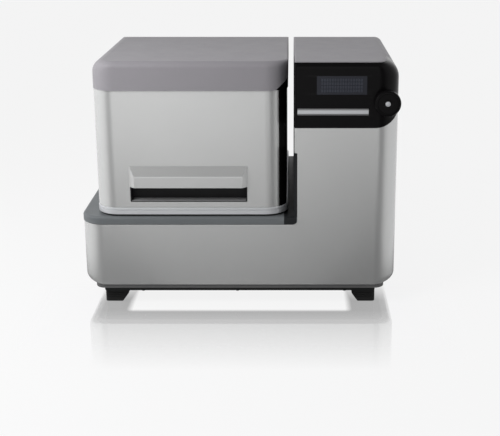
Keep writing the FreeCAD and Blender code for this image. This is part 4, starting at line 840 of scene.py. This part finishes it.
def lid_outside():
    """Silver shell, black cheek and grey cap, with the black edge where the cap rises over the cheek."""
    shell = cut(lid_skin(), cheek_zone(0.0), pocket_block(0.0, LID_FRONT - PAST, FRONT + 24))
    done(shell, "lid_front_shell", "lid", "silver_paint", "lid_shell", width=0.4)
    cheek = common(lid_skin(), cheek_zone(GAP))
    done(cheek, "lid_side_cheek", "lid", "black_gloss", "lid_cheek", width=0.4)
    done(common(cap_skin(), cheek_wedge(GAP)), "cheek_upper_edge", "lid", "black_gloss", width=0.3)
    cap = cut(cap_skin(), cheek_wedge(0.0))
    return done(cap, "lid_top_cap", "lid", "grey_cover", "lid_cap", width=0.8)


def grip_pocket():
    """Pull recess with black walls and a lighter grey sheet on its floor: painted light on the floor of the
    recess.
    """
    wall = 2.0
    pocket = cut(pocket_block(EASE, SHELL_FRONT, POCKET_BACK),
                 pocket_block(wall, SHELL_FRONT - PAST, POCKET_BACK - wall))
    done(pocket, "grip_pocket", "lid", "black_matt", "handle_pocket", width=0.5)
    # Lighter grey sheet on the recess floor: painted light on the floor of the recess.
    floor = block(POCKET_L + wall + GAP, POCKET_R - wall - GAP, SHELL_FRONT + GAP, POCKET_BACK - wall - GAP,
                  POCKET_LOW + wall - 0.2, POCKET_LOW + wall + 0.5, 1.5)
    return done(floor, "grip_floor_painted_light", "lid", "black_matt", width=0.2, finish="grip_floor_painted_light")


def hood_form(wall, low):
    """Sloping top, low front and bevelled ends, all with soft edges."""
    x0, x1, front, back, top = HOOD_L + wall, HOOD_R - wall, HOOD_FACE + wall, SHELL_FRONT, HOOD_TOP - wall
    slope, end = 19, 10
    side_on = prism([(front, low, 0), (back, low, 0), (back, top, 0), (back - 1.5, top, 1.2),
                     (front, top - slope, 5.0)], "x", x0, x1)
    plan = prism([(x0, back, 0), (x0 + end, front, 2.0), (x1 - end, front, 2.0), (x1, back, 0)],
                 "z", low, top)
    return common(side_on, plan)


def pull_hood():
    hood = cut(hood_form(0.0, HOOD_LOW), hood_form(2.5, HOOD_LOW - 2))
    return done(hood, "pull_hood", "lid", "silver_paint", "handle_hood", width=0.5)


def liner_ribs():
    """Shallow stiffening ribs and screws on the lid's liner, seen with the lid open."""
    low_y, high_y, z, half = LID_FRONT + 60, 70.0, TOP - 12.6, 1.5
    ribs = [block(x - half, x + half, low_y, high_y, z - 5, z, 0.8)
            for x in (LID_X - 110, LID_X, LID_X + 110)]
    done(gather(ribs), "liner_ribs", "lid", "liner_plastic", width=0.4)
    places = [(x, y, z) for x in (LID_X - 150, LID_X + 150) for y in (low_y, high_y)]
    return screws("liner_screws", "lid", places, DOWN, 4.5, 2.6)


# Sun wheel, station and counterweight

def sun_wheel():
    """Turned disc with a rim, a recessed web, balance holes and the flanged boss of the station."""
    r, z, top = WHEEL_RADIUS, WHEEL_Z, WHEEL_TOP
    rim = [(0, z), (r - 1, z), (r, z + 1), (r, top - 1), (r - 1, top), (r - 7, top)]
    web = [(r - 8, top - 1.2), (40, top - 1.2), (39, top), (0, top)]
    disc = aimed(turned(rim + web, 96), (LID_X, MAIN_Y, 0))
    flange = [(0, top - 2), (30, top - 2), (30, top + 4), (29.5, top + 4.6), (25, top + 5), (24.4, top + 5.6)]
    neck = [(24.4, BOSS_TOP - 1), (23.6, BOSS_TOP), (0, BOSS_TOP)]
    boss = aimed(turned(flange + neck, 64), (JAR_X, MAIN_Y, 0))
    wheel = cut(fuse(disc, boss), upright_rod(SPINDLE_R, JAR_X, MAIN_Y, z - PAST, BOSS_TOP + PAST))
    for degrees in (70, 90, 110, -70, -90, -110):
        x, y = polar(LID_X, MAIN_Y, 112, math.radians(degrees))
        wheel = cut(wheel, upright_rod(6.0, x, y, top - 7, top + PAST, 24))
    done(wheel, "sun_disc", "wheel", "cast_iron", "sun_wheel", width=0.3)
    places = [(*polar(JAR_X, MAIN_Y, 27.2, math.radians(30 + 60 * i)), top + 4.4) for i in range(6)]
    return screws("boss_screws", "wheel", places, UP, 2.2, 2.2, domed=False)


def counterweight_trim():
    """Cap screws and a millimetre scale on the counterweight."""
    places = [(LID_X - 92, MAIN_Y + side * 40, WEIGHT_TOP) for side in (-1, 1)]
    screws("weight_screws", "weight", places, UP, 5.5, 4.5, domed=False)
    marks, half, pitch, y0 = [], 0.2, 2, MAIN_Y - 1
    for i in range(13):
        x, long = WEIGHT_R - 3 - i * pitch, (7 if i % 5 == 0 else 4)
        marks.append(block(x - half, x + half, y0, y0 + long, WEIGHT_TOP, WEIGHT_TOP + 0.15))
    return done(gather(marks), "weight_scale", "weight", "cast_iron", width=0, finish="white_mark")


def table_pins():
    """Locating pins and edge screws on the platform of the jar."""
    signs = [(sx, sy) for sx in (-1, 1) for sy in (-1, 1)]
    pin = [(0, 0), (3, 0), (3, 5), (2.2, 6.4), (0, 6.8)]
    pins = [aimed(turned(pin, 24), (JAR_X + sx * 35.5, MAIN_Y + sy * 35.5, JAR_Z)) for sx, sy in signs]
    done(gather(pins), "table_pins", "station", "steel", width=0)
    places = [(JAR_X + sx * 20, MAIN_Y + sy * 52, JAR_Z) for sx, sy in signs]
    return screws("table_screws", "station", places, UP, 4.0, 2.2)


def jar():
    """Turned jar with a stepped foot, a knurled grip band and a rolled rim; the lid has a grip groove."""
    r, z, top = JAR_RADIUS, JAR_Z, JAR_TOP
    waist, inner = r - 1.2, r - JAR_WALL
    foot_step = [(0, z), (r - 1.5, z), (r, z + 1.5), (r, z + 10), (waist, z + 11.2), (waist, top - 34)]
    grip_band = [(r, top - 33), (-r, top - 32.4), (-r, top - 16.6), (r, top - 16), (waist, top - 15)]
    rim = [(waist, top - 9), (r, top - 8), (r, top - 1), (r - 0.8, top - 0.2), (inner + 1, top - 0.2)]
    inside = [(inner, top - 1.2), (inner, z + 15), (inner - 6, z + 9), (0, z + 9)]
    body = aimed(turned(foot_step + grip_band + rim + inside, 180, 90, 0.5), (JAR_X, MAIN_Y, 0))
    done(body, "jar_shell", "station", "steel", "jar_body", width=0)
    r, knurl, high = JAR_LID_R, JAR_LID_R - 0.8, JAR_LID_TOP
    side = [(0, top), (r - 1, top), (r, top + 1), (r, top + 4), (-knurl, top + 4.6), (-knurl, top + 11)]
    shoulder = [(r, top + 11.6), (r, high - 1.5), (r - 1.5, high), (24, high)]
    groove = [(23.2, high - 0.8), (20.8, high - 0.8), (20, high), (0, high)]
    lid = aimed(turned(side + shoulder + groove, 180, 60, 0.6), (JAR_X, MAIN_Y, 0))
    return done(lid, "jar_cover", "station", "steel", "jar_lid", width=0)


def clamp_parts():
    """Threaded screw with its hexagonal pad, and screws in the feet of the yoke."""
    root, crest, pitch, z = 7.0, 7.95, THREAD_PITCH, BEAM_TOP - 22
    shank = [(0, PAD_Z + 7), (root, PAD_Z + 7), (root, z)]
    while z < SCREW_TOP - 2.5:
        turn = ((crest, 0.3), (crest, 0.5), (root, 0.8), (root, 1.0))
        shank += [(radius, z + pitch * share) for radius, share in turn]
        z += pitch
    shank += [(6.2, SCREW_TOP), (0, SCREW_TOP)]
    thread = aimed(turned(shank, 40), (JAR_X, MAIN_Y, 0))
    count = 36
    turns = [2 * math.pi * i / count for i in range(count)]
    rings = [[(x, y, PAD_Z) for x, y in circle(JAR_X, MAIN_Y, 18, count)]]
    for reach, height in ((19, 0.8), (20.6, 2.0), (21.4, 2.4), (21.4, 6.4), (20.4, 8.0)):
        rings.append([(*polar(JAR_X, MAIN_Y, hex_reach(reach, turn), turn), PAD_Z + height)
                      for turn in turns])
    done(gather([thread, loft("pad", rings)]), "clamp_thread", "clamp", "steel", "clamp_screw", width=0)
    heads = [screw((JAR_X + side * 53.7, MAIN_Y + y, BEAM_TOP - 52), (side, 0, 0), 3.4, 2.0)
             for side in (-1, 1) for y in (-7, 7)]
    return done(gather(heads), "yoke_screws", "station", "steel", width=0)


def star():
    """Four rounded arms on a hexagonal hub."""
    reach, half, root, low = (STAR_R - STAR_L) / 2, 8.5, 13.0, BEAM_TOP + 8
    corners = []
    for i in range(4):
        turn = Matrix.Rotation(math.pi / 2 * i, 2)
        for u, v, r in ((reach, -half, 7.5), (reach, half, 7.5), (root, root, 5.0)):
            at = turn @ Vector((u, v))
            corners.append((JAR_X + at.x, MAIN_Y + at.y, r))
    arms = softened(prism(corners, "z", low + 0.4, STAR_TOP), 4.5, 5)
    hub = [(x, y, 1.5) for x, y in circle(JAR_X, MAIN_Y, 16, 6)]
    body = fuse(arms, prism(hub, "z", BEAM_TOP + EASE, low + 2))
    boss = turned([(0, 0), (13.5, 0), (13, 1.2), (11.5, 1.6), (0, 1.6)], 48)
    aimed(boss, (JAR_X, MAIN_Y, STAR_TOP - 1.6))
    bore = upright_rod(8.1, JAR_X, MAIN_Y, BEAM_TOP - PAST, STAR_TOP + PAST, 40)
    body = cut(fuse(body, boss), bore)
    return done(body, "star_grip", "star", "star_plastic", "star_handle", width=0.4)


# Back of the machine

def hinge_screws():
    """Screws of the hinge's two plates: the lower plate is on the housing, the upper on the lid."""
    across, y, rim = (HINGE_L + 14, HINGE_L + 60, HINGE_R - 60, HINGE_R - 14), BACK + 3, 12
    low, high = ([(x, y, z) for x in across] for z in (HINGE_LOW + rim, ARM_TOP - rim))
    screws("hinge_screws_low", "machine", low, REARWARD, 4.0, 2.2)
    return screws("hinge_screws_high", "lid", high, REARWARD, 4.0, 2.2)


def louvres():
    """Half-round hoods pressed out over the slots of the back panel."""
    hoods, half, first_z, pitch, steps = [], 31.0, 135.0, 10.0, 16
    hood = ((0.0, 0.8), (1.3, 0.4), (2.3, -0.6), (2.6, -2.4),
            (2.0, -2.4), (1.5, -0.8), (0.6, 0.0), (0.0, 0.1))
    for i in range(6):
        rings = []
        for k in range(steps + 1):
            u = -half + 2 * half * k / steps
            lift = math.sqrt(max(0.0, 1 - (abs(u) / half) ** 6))
            rings.append([(FAN_X + u, PANEL_Y + lift * y, first_z + i * pitch + dz) for y, dz in hood])
        hoods.append(loft("louvre", rings))
    return done(gather(hoods), "panel_louvres", "machine", "plate_steel", width=0)


def fan_guard():
    """Wire guard of the fan, rings on four spokes, and its four screws."""
    y, inner, outer, tip = PANEL_Y + 2.2, 9, 34, 47
    wires = [tube([(u, y, v) for u, v in circle(FAN_X, FAN_Z, radius, 40)], 0.8, 8, closed=True)
             for radius in (10, 18, 26, outer)]
    for i in range(4):
        ends = [polar(FAN_X, FAN_Z, far, math.pi / 4 + math.pi / 2 * i) for far in (inner, outer, tip)]
        wires.append(tube([(u, y - 1.2, v) for u, v in ends], 0.9, 8))
    done(gather(wires), "fan_guard", "machine", "steel", width=0)
    places = [(FAN_X + sx * 35.5, PANEL_Y, FAN_Z + sz * 35.5) for sx in (-1, 1) for sz in (-1, 1)]
    return screws("fan_screws", "machine", places, REARWARD, 3.6, 2.4)


def panel_screws():
    """Screws along both upright edges of the back panel."""
    heights = (PANEL_LOW + 20, (PANEL_LOW + PANEL_TOP) / 2, PANEL_TOP - 20)
    places = [(x, BACK, z) for x in (PANEL_L + LAP - 5, PANEL_R - LAP + 5) for z in heights]
    return screws("panel_screws", "machine", places, REARWARD, 3.2, 2.0)


def rocker_marks():
    """A bar and a ring, the usual marks for on and off, on the rocker's two faces."""
    tilt, size, wire, at, face = math.radians(8), 2.2, 0.4, 4.9, 12.6
    ring = tube([(u, v, 0) for u, v in circle(0, 0, size, 24)], wire, 6, closed=True)
    bar = tube([(0, -size, 0), (0, 0, 0), (0, size, 0)], wire, 6)
    pivot, turn = Vector((SWITCH_X, PANEL_Y - 10, SWITCH_Z)), Matrix.Rotation(tilt, 3, "X")
    for mark, up in ((ring, -1), (bar, 1)):
        flat = Vector((0, face + at * math.tan(tilt), up * at))
        normal = turn @ Vector((0, math.cos(tilt), -up * math.sin(tilt)))
        aimed(mark, pivot + turn @ flat, normal)
    return done(gather([ring, bar]), "rocker_marks", "rocker", "black_matt", width=0, finish="white_mark")


for make in (housing, tower_cover, control_panel, display, panel_strip, select_knob, base_plate, feet,
             ledge, pan, seal, lid_rail, lid_outside, grip_pocket, pull_hood, liner_ribs,
             sun_wheel, counterweight_trim, table_pins, jar, clamp_parts, star,
             hinge_screws, louvres, fan_guard, panel_screws, rocker_marks):
    make()

# The frame's own nodes get their finish and soft edges

SLOTS = {part["node"]: part["material_slot"] for part in frame["record"]["subparts"]}
for name, obj in frame["nodes"].items():
    obj.data.materials.clear()
    obj.data.materials.append(FINISH[SLOTS[name]])
    obj.data.polygons.foreach_set("material_index", [0] * len(obj.data.polygons))
    weld = obj.modifiers.new("weld", "WELD")
    weld.merge_threshold = 0.00001
    bevel = obj.modifiers.new("edges", "BEVEL")
    bevel.width, bevel.segments, bevel.limit_method = 0.0004, 2, "ANGLE"
    bevel.angle_limit = math.radians(40)
    normals = obj.modifiers.new("normals", "WEIGHTED_NORMAL")
    normals.keep_sharp = True


# Floor, light and camera; sizes are metres here

BACKDROP, GLOW, FLOOR_COLOUR = colour(grey(0.896)), colour(grey(0.965)), (0.60, 0.60, 0.61, 1)
STUDIO_FRONT, STUDIO_SIDES = colour(grey(0.95)), (0.95, 0.95, 0.96, 1)
STUDIO_STOPS = ((0.03, 0.80), (0.07, 0.16), (0.13, 0.20), (0.21, 0.75), (0.32, 0.95))
GLOW_SHARE = 0.90  # the rest of what the camera sees of the floor is lit and holds the shadow
MIRROR_SHARE, MIRROR_START, MIRROR_END = 0.58, 0.03, 0.29
NO_MIRROR = 0.3  # past the end of the fade


def studio_level(tree, direction):
    """Brightness of the studio in a direction: bright in front, a dark ring round that, bright beyond."""
    unit = fed(tree, node(tree, "VectorMath", operation="NORMALIZE"), direction)
    parts = node(tree, "SeparateXYZ")
    fed(tree, parts, unit)
    ramp = node(tree, "ValToRGB")
    stops = ramp.color_ramp.elements
    stops[0].position, stops[0].color = 0.0, STUDIO_FRONT
    stops[1].position, stops[1].color = 0.50, STUDIO_SIDES
    for position, level in STUDIO_STOPS:
        stops.new(position).color = colour(grey(level))
    return fed(tree, ramp, mapped(tree, parts.outputs["Y"], -1.0, 1.0, 0.0, 1.0)), parts.outputs["Z"]


def mirror_share(tree, y, past_side, past_front):
    """Share of the floor's mirror: it fades forward from the front and to both sides, and is left out
    behind the front and in the gap that shows between the feet."""
    behind = mapped(tree, y, -0.23, -0.10, 0.0, NO_MIRROR)
    gap = mapped(tree, y, -0.274, -0.260, 0.0, NO_MIRROR)
    between_feet = mapped(tree, past_side, -0.100, -0.085, 1.0, 0.0)
    under = combined(tree, "MAXIMUM", behind, combined(tree, "MULTIPLY", gap, between_feet))
    away = combined(tree, "MAXIMUM", combined(tree, "MULTIPLY", past_side, 2.5), under)
    away = combined(tree, "MAXIMUM", away, past_front)
    return mapped(tree, away, MIRROR_START, MIRROR_END, MIRROR_SHARE, 0.0)


def pale_floor():
    """A floor seen as the pale background, with a shadow and a reflection that fades forward."""
    bm = bmesh.new()
    bmesh.ops.create_grid(bm, x_segments=1, y_segments=1, size=9000)
    floor = new_object("floor", bm)
    ground = bpy.data.materials.new("floor")
    ground.use_nodes = True
    tree = ground.node_tree
    shader = tree.nodes["Principled BSDF"]
    shader.inputs["Base Color"].default_value = FLOOR_COLOUR
    shader.inputs["Roughness"].default_value = 0.6
    shader.inputs["IOR"].default_value = 1.3
    glow = node(tree, "Emission", Color=GLOW, Strength=1.0)
    mirror = node(tree, "BsdfGlossy", Color=colour(grey(1.0)), Roughness=0.05)
    place = node(tree, "NewGeometry").outputs["Position"]
    parts, past = node(tree, "SeparateXYZ"), node(tree, "SeparateXYZ")
    fed(tree, parts, place)
    x, y = parts.outputs["X"], parts.outputs["Y"]
    half_plan = (RIGHT * MM, BACK * MM, 0)
    from_middle = fed(tree, node(tree, "VectorMath", operation="ABSOLUTE"), place)
    fed(tree, past, fed(tree, node(tree, "VectorMath", operation="SUBTRACT"), from_middle, half_plan))
    past_side, past_front = past.outputs["X"], past.outputs["Y"]
    share = mirror_share(tree, y, past_side, past_front)
    seen = mixed(tree, "MixShader", share, glow.outputs[0], mirror.outputs[0])

    # The object's glossy faces see the floor as a painted glow: darker near the front as painted shade where
    # the object's shadow falls, paler to the sides; a painted floor reflection
    level, _ = studio_level(tree, place)
    painted_shade_in_front = combined(tree, "MULTIPLY", mapped(tree, y, -1.9, -0.3, 1.10, 0.27),
                        mapped(tree, x, -0.3, 0.45, 1.0, 0.55))
    strength = combined(tree, "MAXIMUM", painted_shade_in_front, mapped(tree, past_side, 0.02, 0.25, 0.0, 0.95))
    painted_floor_glow = fed(tree, node(tree, "Emission"), level, strength)
    ray = node(tree, "LightPath")
    glow_share = combined(tree, "MULTIPLY", ray.outputs["Is Camera Ray"], GLOW_SHARE)
    plain = mixed(tree, "MixShader", glow_share, shader.outputs[0], seen)
    final = mixed(tree, "MixShader", ray.outputs["Is Glossy Ray"], plain, painted_floor_glow)
    tree.links.new(final, tree.nodes["Material Output"].inputs["Surface"])
    floor.data.materials.append(ground)


def studio_world():
    """Pale to the camera; otherwise the studio's pattern, dimmer overhead."""
    world = bpy.data.worlds.new("studio")
    bpy.context.scene.world = world
    world.use_nodes = True
    tree = world.node_tree
    back = tree.nodes["Background"]
    level, height = studio_level(tree, node(tree, "TexCoord").outputs["Generated"])
    shaded = node(tree, "VectorMath", operation="SCALE")
    tree.links.new(level, shaded.inputs[0])
    tree.links.new(mapped(tree, height, 0.5, 0.85, 1.0, 0.25), shaded.inputs["Scale"])
    camera_ray = node(tree, "LightPath").outputs["Is Camera Ray"]
    tree.links.new(mixed(tree, "MixRGB", camera_ray, shaded.outputs[0], BACKDROP), back.inputs["Color"])
    back.inputs["Strength"].default_value = 1.0


def softbox(name, place, aim, width, height, power):
    """A soft lamp that the floor's mirror and the object's glossy faces don't show."""
    lamp = bpy.data.lights.new(name, "AREA")
    lamp.shape, lamp.size, lamp.size_y, lamp.energy = "RECTANGLE", width, height, power
    obj = bpy.data.objects.new(name, lamp)
    obj.visible_glossy = False
    obj.location = place
    obj.rotation_euler = (Vector(aim) - Vector(place)).to_track_quat("-Z", "Y").to_euler()
    bpy.context.scene.collection.objects.link(obj)


def photo_camera():
    """The photo's viewpoint: in front of the machine, looking down by 15 degrees."""
    camera = bpy.data.cameras.new("camera")
    view = bpy.data.objects.new("camera", camera)
    bpy.context.scene.collection.objects.link(view)
    camera.sensor_fit = "HORIZONTAL"
    camera.sensor_width = 36.0
    camera.lens = 73.87
    camera.shift_x, camera.shift_y = -0.082, -0.096
    view.location = (0.1015, -2.128, 0.794)
    view.rotation_euler = (math.radians(90 - 15.3), 0, 0)
    bpy.context.scene.camera = view


pale_floor()
studio_world()
softbox("key", (-0.66, -0.80, 0.95), (-0.05, -0.20, 0.25), 0.6, 0.6, 12)
softbox("right_strip", (1.05, -0.30, 0.30), (0.3, -0.1, 0.24), 0.8, 0.6, 1.7)
softbox("left_strip", (-1.05, -0.05, 0.50), (-0.3, 0.0, 0.30), 0.35, 0.8, 3)
photo_camera()
bpy.context.scene.view_settings.view_transform = "Standard"
